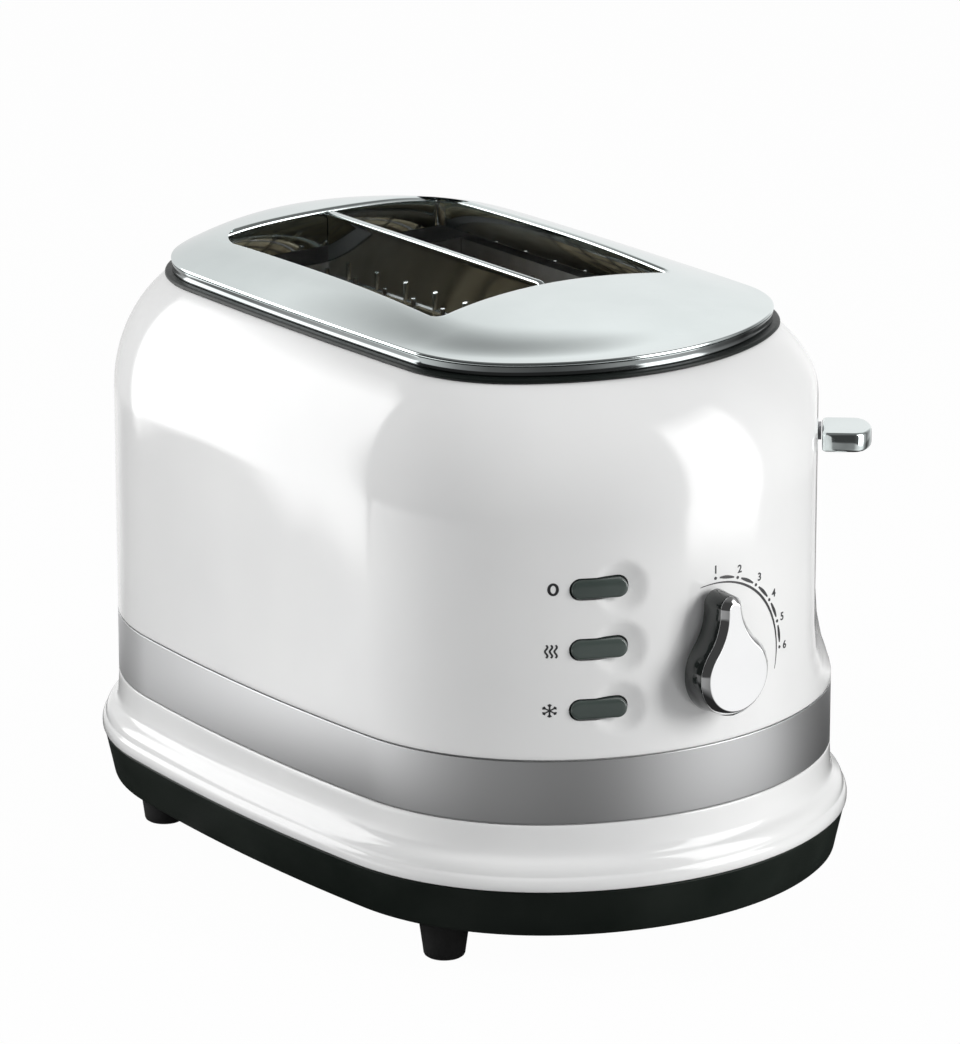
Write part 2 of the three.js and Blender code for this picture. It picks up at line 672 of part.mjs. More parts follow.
// Enamelled shell: skin, ledge for the top plate, recess, slot, dishes and holes.
function bodyShell() {
  const outer = shellSkin(0);
  const ledge = [
    level(outline(RIM_PLAN, -LEDGE_WIDTH), LEDGE_TOP),
    level(outline(RIM_PLAN, -LEDGE_WIDTH), LEDGE_TOP - SHELL_SHEET),
  ];
  const inner = shellSkin(SHELL_SHEET).reverse();
  const skin = cut(loft([...outer, ...ledge, ...inner], true), recessCutter(0));
  const flat = cut(common(loft(outer), recessCutter(SHELL_SHEET)), recessCutter(0));
  const dimples = BUTTON_HEIGHTS.map(dimple);
  const thick = join(skin, flat, ...dimples.map((one) => one.backing));
  const shaftHole = standing(post(SHAFT_RADIUS + RUNNING_GAP, -FRONT_WALL / 2, -FRONT_WALL + OVERRUN));
  return cut(
    thick,
    leverSlotCutter(),
    inFrame(shaftHole.translate(0, 0, KNOB_HEIGHT), DIAL_FRAME),
    ...dimples.map((one) => one.dish),
    ...BUTTON_HEIGHTS.map(buttonHole),
  );
}

// Brushed band that lies flush in the shell's rebate.
function steelBand() {
  return loft(
    [
      level(outline(WALL_PLAN, 0), BAND_BOTTOM),
      level(outline(WALL_PLAN, 0), BAND_TOP),
      level(outline(WALL_PLAN, -BAND_SHEET), BAND_TOP),
      level(outline(WALL_PLAN, -BAND_SHEET), BAND_BOTTOM),
    ],
    true,
  );
}

// The floor's vents in two rows.
function ventCutters() {
  const cutters = [];
  for (let i = 0; i < VENT_COUNT; i += 1) {
    const x = (i - (VENT_COUNT - 1) / 2) * VENT_PITCH;
    for (const y of [-VENT_LENGTH, VENT_PITCH]) {
      const half = VENT_WIDTH / 2;
      cutters.push(block(x - half, x + half, y, y + VENT_LENGTH, FOOT_HEIGHT - OVERRUN, REST + OVERRUN));
    }
  }
  return cutters;
}

// Places mirrored to all four corners.
function corners(x, y) {
  return [[-x, -y], [x, -y], [-x, y], [x, y]];
}

// Dark moulded tub with vents, screw holes, cord hole and the tray's mouth.
function basePan() {
  const outer = [
    level(outline(WALL_PLAN, BASE_BOTTOM_GROWTH - BASE_CHAMFER), FOOT_HEIGHT),
    level(outline(WALL_PLAN, BASE_BOTTOM_GROWTH), FOOT_HEIGHT + BASE_CHAMFER),
    level(outline(WALL_PLAN, BASE_TOP_GROWTH), BASE_TOP),
  ];
  const inner = [
    level(outline(WALL_PLAN, BASE_BOTTOM_GROWTH - BASE_WALL), FLOOR_TOP),
    level(outline(WALL_PLAN, BASE_TOP_GROWTH - BASE_WALL), BASE_TOP),
    level(outline(WALL_PLAN, BASE_TOP_GROWTH - BASE_WALL), BASE_TOP + OVERRUN),
  ];
  const mouth = slab(
    TRAY_HALF_WIDTH + RUNNING_GAP,
    WALL_PLAN.halfLength / 2,
    WALL_PLAN.halfLength + BEAD_GROWTH + OVERRUN,
    TRAY_BOTTOM - RUNNING_GAP,
    TRAY_TOP + RUNNING_GAP,
  );
  const screwHoles = corners(SCREW_X, SCREW_Y).map(([x, y]) =>
    post(SCREW_RADIUS + GAP, FOOT_HEIGHT - OVERRUN, FLOOR_TOP + OVERRUN).translate(x, y, 0),
  );
  const cordHole = post(GLAND_RADIUS + GAP, FOOT_HEIGHT - OVERRUN, FLOOR_TOP + OVERRUN);
  return cut(
    loft(outer),
    loft(inner),
    mouth,
    ...ventCutters(),
    ...screwHoles,
    cordHole.translate(GLAND_X, GLAND_Y, 0),
  );
}

// Tapered rubber foot.
function foot() {
  return turned([
    [0, 0],
    [FOOT_BOTTOM_RADIUS - FOOT_ROUND, 0],
    [FOOT_BOTTOM_RADIUS, FOOT_ROUND],
    [FOOT_TOP_RADIUS, FOOT_HEIGHT - GAP],
    [0, FOOT_HEIGHT - GAP],
  ]);
}

// Screw up through the floor.
function baseScrew() {
  const headBottom = FOOT_HEIGHT - GAP - SCREW_HEAD_HEIGHT;
  return turned([
    [0, headBottom],
    [SCREW_HEAD_RADIUS, headBottom],
    [SCREW_HEAD_RADIUS, FOOT_HEIGHT - GAP],
    [SCREW_RADIUS, FOOT_HEIGHT - GAP],
    [SCREW_RADIUS, FOOT_HEIGHT - GAP + SCREW_LENGTH],
    [0, FOOT_HEIGHT - GAP + SCREW_LENGTH],
  ]);
}

// Open bush in the floor for the supply lead.
function cordGland() {
  const bottom = FOOT_HEIGHT - GAP - GLAND_FLANGE;
  return turned([
    [GLAND_BORE_RADIUS, bottom],
    [GLAND_FLANGE_RADIUS, bottom],
    [GLAND_FLANGE_RADIUS, bottom + GLAND_FLANGE],
    [GLAND_RADIUS, bottom + GLAND_FLANGE],
    [GLAND_RADIUS, FLOOR_TOP + GLAND_RISE],
    [GLAND_BORE_RADIUS, FLOOR_TOP + GLAND_RISE],
    [GLAND_BORE_RADIUS, bottom],
  ]).translate(GLAND_X, GLAND_Y, 0);
}

// The dome from its rolled edge to the crown, moved in and down by a sheet.
function domeRings(sheet) {
  const down = sheet > 0 ? OVERRUN : 0;
  const rings = [
    level(outline(RIM_PLAN, PLATE_LIP - sheet), RIM_HEIGHT - down),
    level(outline(RIM_PLAN, PLATE_LIP - sheet), RIM_HEIGHT + PLATE_LIP * 2 - sheet / 2),
    level(outline(RIM_PLAN, -PLATE_LIP - sheet), RIM_HEIGHT + PLATE_LIP * 3 - sheet / 2),
    level(outline(RIM_PLAN, -PLATE_LIP - sheet), DOME_FOOT - PLATE_LIP - sheet / 2),
  ];
  const reach = RIM_PLAN.cornerRadius - DOME_MARGIN;
  for (let i = 0; i <= DOME_STEPS; i += 1) {
    const inset = reach * (i / DOME_STEPS) ** DOME_SPACING_POWER;
    const fall = Math.max(1 - inset / DOME_SPAN, 0) ** DOME_POWER;
    rings.push(level(outline(RIM_PLAN, -inset - sheet), CROWN - DOME_RISE * fall - sheet));
  }
  return rings;
}

// Bright top plate: rolled edge, dome, one long opening with a turned-down collar.
function topPlate() {
  const opening = (growth, z0) =>
    slab(
      OPENING_HALF_WIDTH + growth,
      OPENING_FRONT - growth,
      OPENING_BACK + growth,
      z0,
      CROWN + OVERRUN,
    );
  const full = loft(domeRings(0));
  const collar = common(full, opening(PLATE_SHEET, CROWN - COLLAR_DEPTH));
  const dome = cut(full, loft(domeRings(PLATE_SHEET)));
  return cut(join(dome, collar), opening(0, RIM_HEIGHT - OVERRUN));
}

// Thin divider with a hemmed top edge.
function slotDivider() {
  const half = DIVIDER_SHEET / 2;
  const hem = DIVIDER_HEM / 2;
  const top = CROWN - DIVIDER_DROP;
  const shoulder = top - DIVIDER_HEM_HEIGHT;
  return rail(
    [[-half, DIVIDER_BOTTOM], [half, DIVIDER_BOTTOM], [half, shoulder], [hem, shoulder + hem],
      [hem, top - hem], [0, top], [-hem, top - hem], [-hem, shoulder + hem], [-half, shoulder]],
    OPENING_FRONT + GAP,
    OPENING_BACK - GAP,
  );
}

// End plate of the cage: legs each side of the tray and a slot for each rack.
function cagePlate(y0) {
  const y1 = y0 + CAGE_SHEET;
  const archTop = TRAY_TOP + RUNNER_LIP;
  const arch = slab(CAGE_ARCH_HALF_WIDTH, y0 - OVERRUN, y1 + OVERRUN, REST - OVERRUN, archTop);
  const slots = [-RACK_X, RACK_X].map((x) => {
    const half = RACK_BAR_WIDTH / 2 + RUNNING_GAP;
    const low = RACK_TOP - RACK_BAR_HEIGHT - TRAVEL - RUNNING_GAP;
    return block(x - half, x + half, y0 - OVERRUN, y1 + OVERRUN, low, RACK_TOP + RUNNING_GAP);
  });
  return cut(slab(CAGE_HALF_WIDTH, y0, y1, REST, CAGE_TOP), arch, ...slots);
}

// Side reflector: tall sheet with its top and bottom edges turned outwards.
function reflector(side) {
  const inner = REFLECTOR_X * side;
  const outer = (REFLECTOR_X + REFLECTOR_SHEET) * side;
  const flange = (REFLECTOR_X + REFLECTOR_FLANGE) * side;
  const points = [
    [inner, REFLECTOR_BOTTOM], [flange, REFLECTOR_BOTTOM], [flange, REFLECTOR_BOTTOM + REFLECTOR_SHEET],
    [outer, REFLECTOR_BOTTOM + REFLECTOR_SHEET], [outer, CAGE_TOP - REFLECTOR_SHEET],
    [flange, CAGE_TOP - REFLECTOR_SHEET], [flange, CAGE_TOP], [inner, CAGE_TOP],
  ];
  return rail(side > 0 ? points : points.reverse(), CAGE_FRONT + GAP, CAGE_BACK - GAP);
}

// Mica board that carries heating ribbon.
function heaterBoard(x) {
  const half = BOARD_SHEET / 2;
  return block(x - half, x + half, CAGE_FRONT + GAP, CAGE_BACK - GAP, BOARD_BOTTOM, BOARD_TOP);
}

// Heating ribbon laid to and fro on a board's face; side is the face's direction along X.
function heatingRibbon(boardX, side) {
  const y0 = CAGE_FRONT + ELEMENT_MARGIN;
  const y1 = CAGE_BACK - ELEMENT_MARGIN;
  const z0 = BOARD_BOTTOM + ELEMENT_MARGIN;
  const pitch = (BOARD_TOP - ELEMENT_MARGIN - ELEMENT_WIDTH - z0) / (ELEMENT_RUNS - 1);
  const face = boardX + (BOARD_SHEET / 2 + GAP) * side;
  const far = face + ELEMENT_SHEET * side;
  const strip = (ya, yb, za, zb) => block(Math.min(face, far), Math.max(face, far), ya, yb, za, zb);
  const strips = [];
  for (let run = 0; run < ELEMENT_RUNS; run += 1) {
    const z = z0 + run * pitch;
    strips.push(strip(y0, y1, z, z + ELEMENT_WIDTH));
    const end = run % 2 === 0 ? y1 - ELEMENT_WIDTH : y0;
    if (run < ELEMENT_RUNS - 1) strips.push(strip(end, end + ELEMENT_WIDTH, z, z + pitch + ELEMENT_WIDTH));
  }
  return join(...strips);
}

// Wire guard between the slices and a heater: two rails and upright wires.
function wireGuard(x) {
  const wires = [];
  const length = CAGE_BACK - CAGE_FRONT - GAP * 2;
  for (const z of [GUARD_BOTTOM + GUARD_RAIL_INSET, CAGE_TOP - GUARD_RAIL_INSET]) {
    const wire = new THREE.CylinderGeometry(GUARD_WIRE_RADIUS, GUARD_WIRE_RADIUS, length, GUARD_WIRE_SIDES);
    wires.push(wire.translate(x, (CAGE_FRONT + CAGE_BACK) / 2, z));
  }
  const first = CAGE_FRONT + GUARD_END_INSET;
  const pitch = (CAGE_BACK - GUARD_END_INSET - first) / (GUARD_WIRES - 1);
  for (let i = 0; i < GUARD_WIRES; i += 1) {
    const wire = post(GUARD_WIRE_RADIUS, GUARD_BOTTOM, CAGE_TOP, GUARD_WIRE_SIDES);
    wires.push(wire.translate(x, first + i * pitch, 0));
  }
  return join(...wires);
}

// Rack that a slice stands on: a bar on edge with cross tines.
function liftRack(x) {
  const half = RACK_BAR_WIDTH / 2;
  const back = CAGE_BACK + CAGE_SHEET + RACK_TAIL;
  const bar = block(x - half, x + half, CARRIAGE_BACK + GAP, back, RACK_TOP - RACK_BAR_HEIGHT, RACK_TOP);
  const first = CAGE_FRONT + GUARD_END_INSET * 2;
  const pitch = (CAGE_BACK - GUARD_END_INSET * 2 - first) / (RACK_TINES - 1);
  const tines = [];
  for (let i = 0; i < RACK_TINES; i += 1) {
    const y = first + i * pitch;
    const reach = RACK_TINE_REACH;
    tines.push(block(x - reach, x + reach, y, y + RACK_TINE_SIZE, RACK_TOP - RACK_TINE_SIZE, RACK_TOP));
  }
  return join(bar, ...tines);
}

// Sheet bridge over the lift works: holds the rods and the spring.
function topBridge() {
  const back = CAGE_FRONT - CAGE_SHEET - GAP;
  const half = CARRIAGE_HALF_WIDTH;
  const deck = slab(half, back - BRIDGE_REACH, back, BRIDGE_BOTTOM, BRIDGE_BOTTOM + CAGE_SHEET);
  const lip = slab(half, back - CAGE_SHEET, back, BRIDGE_BOTTOM - BRIDGE_LIP, BRIDGE_BOTTOM);
  return join(deck, lip);
}

// Upright guide rod from the floor to the bridge.
function guideRod(x) {
  return post(ROD_RADIUS, REST, BRIDGE_BOTTOM - GAP).translate(x, ROD_Y, 0);
}

// Carriage: upright sheet with two sleeves on the rods and a lug for the spring.
function carriagePlate() {
  const sheet = slab(CARRIAGE_HALF_WIDTH, CARRIAGE_FRONT, CARRIAGE_BACK, CARRIAGE_BOTTOM, CARRIAGE_TOP);
  const lug = slab(
    SPRING_LUG_HALF_WIDTH,
    SPRING_Y - SPRING_RADIUS - SPRING_WIRE_RADIUS,
    CARRIAGE_BACK,
    CARRIAGE_BOTTOM,
    LUG_TOP,
  );
  const solids = [lug];
  const bores = [];
  for (const x of [-ROD_X, ROD_X]) {
    solids.push(post(SLEEVE_RADIUS, SLEEVE_BOTTOM, SLEEVE_TOP).translate(x, ROD_Y, 0));
    const half = SLEEVE_RADIUS / 2;
    solids.push(block(x - half, x + half, ROD_Y, CARRIAGE_BACK, SLEEVE_BOTTOM, SLEEVE_TOP));
    const bore = post(ROD_RADIUS + RUNNING_GAP, SLEEVE_BOTTOM - OVERRUN, SLEEVE_TOP + OVERRUN);
    bores.push(bore.translate(x, ROD_Y, 0));
  }
  return cut(join(sheet, ...solids), ...bores);
}

// Return spring: one wire wound into a helix between the lug and the bridge.
function returnSpring() {
  const bottom = LUG_TOP + GAP + SPRING_WIRE_RADIUS;
  const top = BRIDGE_BOTTOM - GAP - SPRING_WIRE_RADIUS;
  const steps = SPRING_TURNS * SPRING_STEPS_PER_TURN;
  const rise = top - bottom;
  const centre = (share) => {
    const turn = share * SPRING_TURNS * Math.PI * 2;
    return new THREE.Vector3(
      SPRING_RADIUS * Math.cos(turn),
      SPRING_Y + SPRING_RADIUS * Math.sin(turn),
      bottom + rise * share,
    );
  };
  const rings = [];
  for (let i = 0; i <= steps; i += 1) {
    const share = i / steps;
    const turn = share * SPRING_TURNS * Math.PI * 2;
    const middle = centre(share);
    const ring = [];
    for (let j = 0; j < SPRING_WIRE_SIDES; j += 1) {
      const angle = (-Math.PI * 2 * j) / SPRING_WIRE_SIDES;
      const out = SPRING_WIRE_RADIUS * Math.cos(angle);
      ring.push([
        middle.x + out * Math.cos(turn),
        middle.y + out * Math.sin(turn),
        middle.z + SPRING_WIRE_RADIUS * Math.sin(angle),
      ]);
    }
    rings.push(ring);
  }
  const pitch = rise / SPRING_TURNS;
  console.log("spring: least gap between turns", (pitch - SPRING_WIRE_RADIUS * 2).toFixed(2), "mm");
  return loft(rings);
}

// Soft iron keeper under the carriage.
function latchArmature() {
  const front = CARRIAGE_FRONT - ARMATURE_REACH;
  const keeper = slab(ARMATURE_HALF_WIDTH, front, CARRIAGE_BACK, ARMATURE_BOTTOM, ARMATURE_TOP);
  return keeper.translate(ARMATURE_X, 0, 0);
}

// Keeper magnet's iron: a yoke with two legs.
function magnetCore() {
  const y1 = CARRIAGE_FRONT;
  const y0 = y1 - ARMATURE_REACH;
  const half = ARMATURE_HALF_WIDTH - GAP;
  const yoke = slab(half, y0, y1, REST, REST + MAGNET_YOKE);
  const front = slab(half, y0, y0 + MAGNET_LEG, REST, MAGNET_TOP);
  const back = slab(half, y1 - MAGNET_LEG, y1, REST, MAGNET_TOP);
  return join(yoke, front, back).translate(ARMATURE_X, 0, 0);
}

// Winding on the magnet's front leg.
function magnetCoil() {
  const top = MAGNET_TOP - GAP;
  const y0 = CARRIAGE_FRONT - ARMATURE_REACH;
  const half = ARMATURE_HALF_WIDTH;
  const bottom = REST + MAGNET_YOKE + GAP;
  const t = MAGNET_COIL_THICKNESS;
  const outer = slab(half + t, y0 - t, y0 + MAGNET_LEG + t, bottom, top - t);
  const inner = slab(half, y0 - GAP, y0 + MAGNET_LEG + GAP, bottom - OVERRUN, top + OVERRUN);
  return cut(outer, inner).translate(ARMATURE_X, 0, 0);
}

// Mains switch that the carriage closes at the bottom of its travel.
function mainsSwitch() {
  const y1 = CARRIAGE_FRONT - SWITCH_SETBACK;
  const y0 = y1 - SWITCH_DEPTH;
  const half = SWITCH_HALF_WIDTH;
  const body = slab(half, y0, y1, REST, REST + SWITCH_HEIGHT);
  const pin = SWITCH_DEPTH / 4;
  const nib = slab(pin, y0 + pin, y1 - pin, REST + SWITCH_HEIGHT - GAP, REST + SWITCH_HEIGHT + pin);
  return join(body, nib).translate(SWITCH_X, 0, 0);
}

// Lever arm from the carriage out through the corner slot, trimmed at the carriage.
function leverArm() {
  const half = ARM_WIDTH / 2;
  const rise = ARM_HEIGHT / 2;
  const reach = (CARRIAGE_FRONT - LEVER_FRAME.y) / Math.sin(-LEVER_ANGLE) + ARM_WIDTH;
  const arm = inFrame(
    block(-reach, GRIP_START - GAP, -half, half, LEVER_HEIGHT - rise, LEVER_HEIGHT + rise),
    LEVER_FRAME,
  );
  const trim = slab(WALL_PLAN.halfWidth, CARRIAGE_FRONT - GAP, 0, 0, RIM_HEIGHT);
  return cut(arm, trim);
}

// Bright grip: a flat bar with softened edges and a bowed outer end.
function leverGrip() {
  const end = GRIP_START + GRIP_LENGTH;
  const plan = (inset) => {
    const half = GRIP_HALF_WIDTH - inset;
    const bulge = GRIP_BULGE;
    const points = [[GRIP_START + inset, half], [GRIP_START + inset, -half]];
    for (let i = 0; i <= GRIP_ARC_STEPS; i += 1) {
      const share = (i / GRIP_ARC_STEPS) * 2 - 1;
      points.push([end - inset + bulge * (1 - share ** 2), half * share]);
    }
    return points;
  };
  const low = LEVER_HEIGHT - GRIP_HEIGHT / 2;
  const high = LEVER_HEIGHT + GRIP_HEIGHT / 2;
  return loft([
    level(plan(GRIP_ROUND), low),
    level(plan(GRIP_ROUND / 4), low + GRIP_ROUND / 4),
    level(plan(0), low + GRIP_ROUND),
    level(plan(0), high - GRIP_ROUND),
    level(plan(GRIP_ROUND / 4), high - GRIP_ROUND / 4),
    level(plan(GRIP_ROUND), high),
  ]);
}

// Dial knob: a teardrop body with a blind bore for the shaft.
function dialKnob() {
  const back = level(teardrop(-KNOB_BACK_GROWTH), -KNOB_BACK);
  const body = standing(loft([back, level(teardrop(0), -KNOB_SEAT - GAP)]));
  const bore = standing(post(SHAFT_RADIUS + GAP, -KNOB_BACK - OVERRUN, -KNOB_BACK + SHAFT_BITE + GAP));
  return cut(body, bore).translate(0, 0, KNOB_HEIGHT);
}

// Bright face on the knob's front, with a wide chamfer all round.
function knobFace() {
  const face = loft([
    level(teardrop(0), -KNOB_SEAT),
    level(teardrop(0), -KNOB_FACE - KNOB_CHAMFER),
    level(teardrop(KNOB_CHAMFER), -KNOB_FACE),
  ]);
  return standing(face).translate(0, 0, KNOB_HEIGHT);
}

// Shaft from the timer into the knob.
function knobShaft() {
  const inner = -FRONT_WALL - TIMER_SETBACK + GAP;
  return standing(post(SHAFT_RADIUS, inner, -KNOB_BACK + SHAFT_BITE)).translate(0, 0, KNOB_HEIGHT);
}

// Timer body behind the wall.
function timerControl() {
  const front = -FRONT_WALL - TIMER_SETBACK;
  const body = standing(post(TIMER_HALF_WIDTH, front - TIMER_DEPTH, front));
  return body.translate(0, 0, KNOB_HEIGHT);
}

// Circuit board that carries the timer.
function timerBoard() {
  const front = -FRONT_WALL - TIMER_SETBACK - TIMER_DEPTH - GAP;
  const half = TIMER_BOARD_HALF_WIDTH;
  const low = KNOB_HEIGHT - TIMER_BOARD_DROP;
  return block(front - BOARD_THICKNESS, front, -half, half, low, KNOB_HEIGHT + TIMER_BOARD_RISE);
}

// One button: pill cap on a flanged body that stops behind the wall.
function pushButton(height) {
  const cap = plaque(pill(BUTTON_HALF_LENGTH, BUTTON_HALF_HEIGHT), -BUTTON_BODY, BUTTON_PROUD);
  const flange = plaque(
    pill(BUTTON_HALF_LENGTH + BUTTON_FLANGE, BUTTON_HALF_HEIGHT + BUTTON_FLANGE),
    -BUTTON_BODY,
    -BUTTON_BODY + BUTTON_FLANGE_THICKNESS,
  );
  return join(cap, flange).translate(0, 0, height);
}

// Push switch behind a button.
function pushSwitch(height) {
  const front = -BUTTON_BODY - BUTTON_TRAVEL - GAP;
  const half = SWITCH_BODY_HALF;
  return block(front - SWITCH_BODY_DEPTH, front, -half, half, height - half, height + half);
}

// Circuit board behind the buttons.
function buttonBoard() {
  const front = -BUTTON_BODY - BUTTON_TRAVEL - GAP - SWITCH_BODY_DEPTH - GAP;
  const half = BUTTON_BOARD_HALF_WIDTH;
  const low = Math.min(...BUTTON_HEIGHTS) - BUTTON_BOARD_MARGIN;
  const high = Math.max(...BUTTON_HEIGHTS) + BUTTON_BOARD_MARGIN;
  return block(front - BOARD_THICKNESS, front, -half, half, low, high);
}

// Moulded upright that stands on the floor and backs both boards.
function controlBracket() {
  const high = Math.max(...BUTTON_HEIGHTS) + BUTTON_BOARD_MARGIN + BRACKET_TOP_MARGIN;
  const timerFront = -FRONT_WALL - TIMER_SETBACK - TIMER_DEPTH - BOARD_THICKNESS - GAP * 2;
  const behindTimer = block(
    timerFront - BRACKET_SHEET,
    timerFront,
    -TIMER_BOARD_HALF_WIDTH - BRACKET_REACH,
    TIMER_BOARD_HALF_WIDTH,
    REST,
    high,
  );
  const buttonFront = -BUTTON_BODY - BUTTON_TRAVEL - SWITCH_BODY_DEPTH - BOARD_THICKNESS - GAP * 3;
  const reach = BUTTON_BOARD_HALF_WIDTH;
  const behindButtons = block(
    buttonFront - BRACKET_SHEET,
    buttonFront,
    -reach,
    reach + BRACKET_OVERLAP,
    REST,
    high,
  );
  return join(inFrame(behindTimer, DIAL_FRAME), inFrame(behindButtons, BUTTON_FRAME));
}

// Sheet tray with a turned-up rim; its back follows the base and carries a pull with a turned-down lip.
function crumbTray() {
  const reach = WALL_PLAN.halfLength + BASE_TOP_GROWTH;
  const plan = prism(outline(WALL_PLAN, TRAY_BACK_GROWTH), 0, TRAY_TOP);
  const cavity = prism(outline(WALL_PLAN, TRAY_BACK_GROWTH - TRAY_SHEET), 0, TRAY_TOP + OVERRUN);
  const outer = common(slab(TRAY_HALF_WIDTH, TRAY_FRONT, reach, TRAY_BOTTOM, TRAY_TOP), plan);
  const half = TRAY_HALF_WIDTH - TRAY_SHEET;
  const front = TRAY_FRONT + TRAY_SHEET;
  const inner = common(slab(half, front, reach, TRAY_BOTTOM + TRAY_SHEET, TRAY_TOP + OVERRUN), cavity);
  const pullEnd = reach + TRAY_PULL_REACH;
  const pullStart = WALL_PLAN.halfLength - TRAY_SHEET;
  const pullTop = TRAY_TOP - TRAY_SHEET;
  const tongue = slab(TRAY_PULL_HALF_WIDTH, pullStart, pullEnd, pullTop - TRAY_SHEET, pullTop);
  const lip = slab(TRAY_PULL_HALF_WIDTH, pullEnd - TRAY_SHEET * 2, pullEnd, pullTop - TRAY_LIP, pullTop);
  return join(cut(outer, inner), tongue, lip);
}

// Runner on the floor that the tray slides in.
function trayRunner(side) {
  const inner = (TRAY_HALF_WIDTH + GAP) * side;
  const outer = (TRAY_HALF_WIDTH + GAP + RUNNER_WIDTH) * side;
  const under = (TRAY_HALF_WIDTH - RUNNER_LIP) * side;
  const points = [
    [under, REST], [outer, REST], [outer, TRAY_TOP], [inner, TRAY_TOP],
    [inner, TRAY_BOTTOM - GAP], [under, TRAY_BOTTOM - GAP],
  ];
  return rail(side > 0 ? points : points.reverse(), TRAY_FRONT, CAGE_BACK - GAP);
}

// Outer case: shell, band, base, feet and what is screwed to it.
function casing() {
  const group = new THREE.Group();
  piece(group, "body_shell", bodyShell(), "enamel");
  piece(group, "steel_band", steelBand(), "brushed");
  piece(group, "base_pan", basePan(), "base");
  piece(group, "cord_gland", cordGland(), "rubber");
  const names = ["front_left", "front_right", "back_left", "back_right"];
  corners(FOOT_X, FOOT_Y).forEach(([x, y], i) => {
    piece(group, "foot_" + names[i], foot(), "rubber").position.set(x, y, 0);
  });
  corners(SCREW_X, SCREW_Y).forEach(([x, y], i) => {
    piece(group, "base_screw_" + names[i], baseScrew(), "sheet").position.set(x, y, 0);
  });
  piece(group, "top_plate", topPlate(), "bright");
  piece(group, "slot_divider", slotDivider(), "bright");
  return group;
}

// Heating cage with its boards, ribbons and guards.
function heatingCage() {
  const group = new THREE.Group();
  piece(group, "cage_front_plate", cagePlate(CAGE_FRONT - CAGE_SHEET), "sheet");
  piece(group, "cage_back_plate", cagePlate(CAGE_BACK), "sheet");
  for (const [side, label] of [[-1, "left"], [1, "right"]]) {
    piece(group, "reflector_" + label, reflector(side), "sheet");
    piece(group, "heater_board_" + label, heaterBoard(BOARD_X * side), "mica");
    piece(group, "heating_ribbon_outer_" + label, heatingRibbon(BOARD_X * side, -side), "sheet");
    piece(group, "heating_ribbon_inner_" + label, heatingRibbon(0, side), "sheet");
    piece(group, "wire_guard_outer_" + label, wireGuard(GUARD_OUTER_X * side), "bright");
    piece(group, "wire_guard_inner_" + label, wireGuard(GUARD_INNER_X * side), "bright");
    piece(group, "tray_runner_" + label, trayRunner(side), "sheet");
  }
  piece(group, "heater_board_centre", heaterBoard(0), "mica");
  piece(group, "crumb_tray", crumbTray(), "brushed");
  return group;
}

// Lift works: carriage, racks, rods, spring, latch, switch and lever.
function liftWorks() {
  const group = new THREE.Group();
  piece(group, "carriage_plate", carriagePlate(), "sheet");
  piece(group, "lift_rack_left", liftRack(-RACK_X), "sheet");
  piece(group, "lift_rack_right", liftRack(RACK_X), "sheet");
  piece(group, "guide_rod_left", guideRod(-ROD_X), "bright");
  piece(group, "guide_rod_right", guideRod(ROD_X), "bright");
  piece(group, "top_bridge", topBridge(), "sheet");
  piece(group, "return_spring", returnSpring(), "sheet");
  piece(group, "latch_armature", latchArmature(), "sheet");
  piece(group, "magnet_core", magnetCore(), "sheet");
  piece(group, "magnet_coil", magnetCoil(), "copper");
  piece(group, "mains_switch", mainsSwitch(), "base");
  piece(group, "lever_arm", leverArm(), "sheet");
  const corner = groupAt(LEVER_FRAME);
  piece(corner, "lever_grip", leverGrip(), "bright");
  group.add(corner);
  return group;
}

// Controls: browning dial, buttons, their switches, boards and bracket.
function controls() {
  const group = new THREE.Group();
  const dial = groupAt(DIAL_FRAME);
  piece(dial, "dial_knob", dialKnob(), "gloss");
  piece(dial, "knob_face", knobFace(), "bright");
  piece(dial, "knob_shaft", knobShaft(), "sheet");
  piece(dial, "timer_control", timerControl(), "base");
  piece(dial, "timer_board", timerBoard(), "board");
  const column = groupAt(BUTTON_FRAME);
  BUTTON_HEIGHTS.forEach((height, i) => {
    piece(column, BUTTON_NAMES[i] + "_button", pushButton(height), "gloss");
    piece(column, BUTTON_NAMES[i] + "_switch", pushSwitch(height), "base");
  });
  piece(column, "button_board", buttonBoard(), "board");
  piece(group, "control_bracket", controlBracket(), "base");
  group.add(dial, column);
  return group;
}

const toaster = new THREE.Group();
toaster.add(casing(), heatingCage(), liftWorks(), controls());

export default toaster;
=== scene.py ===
"""Two-slice toaster: the visual model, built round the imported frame. Metres, +Z up, controls face -Y."""

import logging
import math
from collections.abc import Callable, Sequence
from dataclasses import dataclass, field
from enum import Enum

import bpy
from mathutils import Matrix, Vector


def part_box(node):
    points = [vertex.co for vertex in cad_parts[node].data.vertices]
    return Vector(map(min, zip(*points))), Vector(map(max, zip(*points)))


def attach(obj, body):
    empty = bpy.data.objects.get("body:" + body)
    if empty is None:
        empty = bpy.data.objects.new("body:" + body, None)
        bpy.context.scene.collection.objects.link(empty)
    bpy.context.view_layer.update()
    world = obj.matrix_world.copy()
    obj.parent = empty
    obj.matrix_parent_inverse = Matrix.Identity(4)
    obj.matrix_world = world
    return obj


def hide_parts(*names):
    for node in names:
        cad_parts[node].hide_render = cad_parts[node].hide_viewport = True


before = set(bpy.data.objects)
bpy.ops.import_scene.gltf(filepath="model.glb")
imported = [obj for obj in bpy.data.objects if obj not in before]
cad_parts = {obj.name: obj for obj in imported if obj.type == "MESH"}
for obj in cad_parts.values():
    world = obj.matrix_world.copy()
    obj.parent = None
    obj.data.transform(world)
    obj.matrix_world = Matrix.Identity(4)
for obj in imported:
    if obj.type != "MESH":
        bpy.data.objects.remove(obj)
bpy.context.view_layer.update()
LOG = logging.getLogger("toaster")

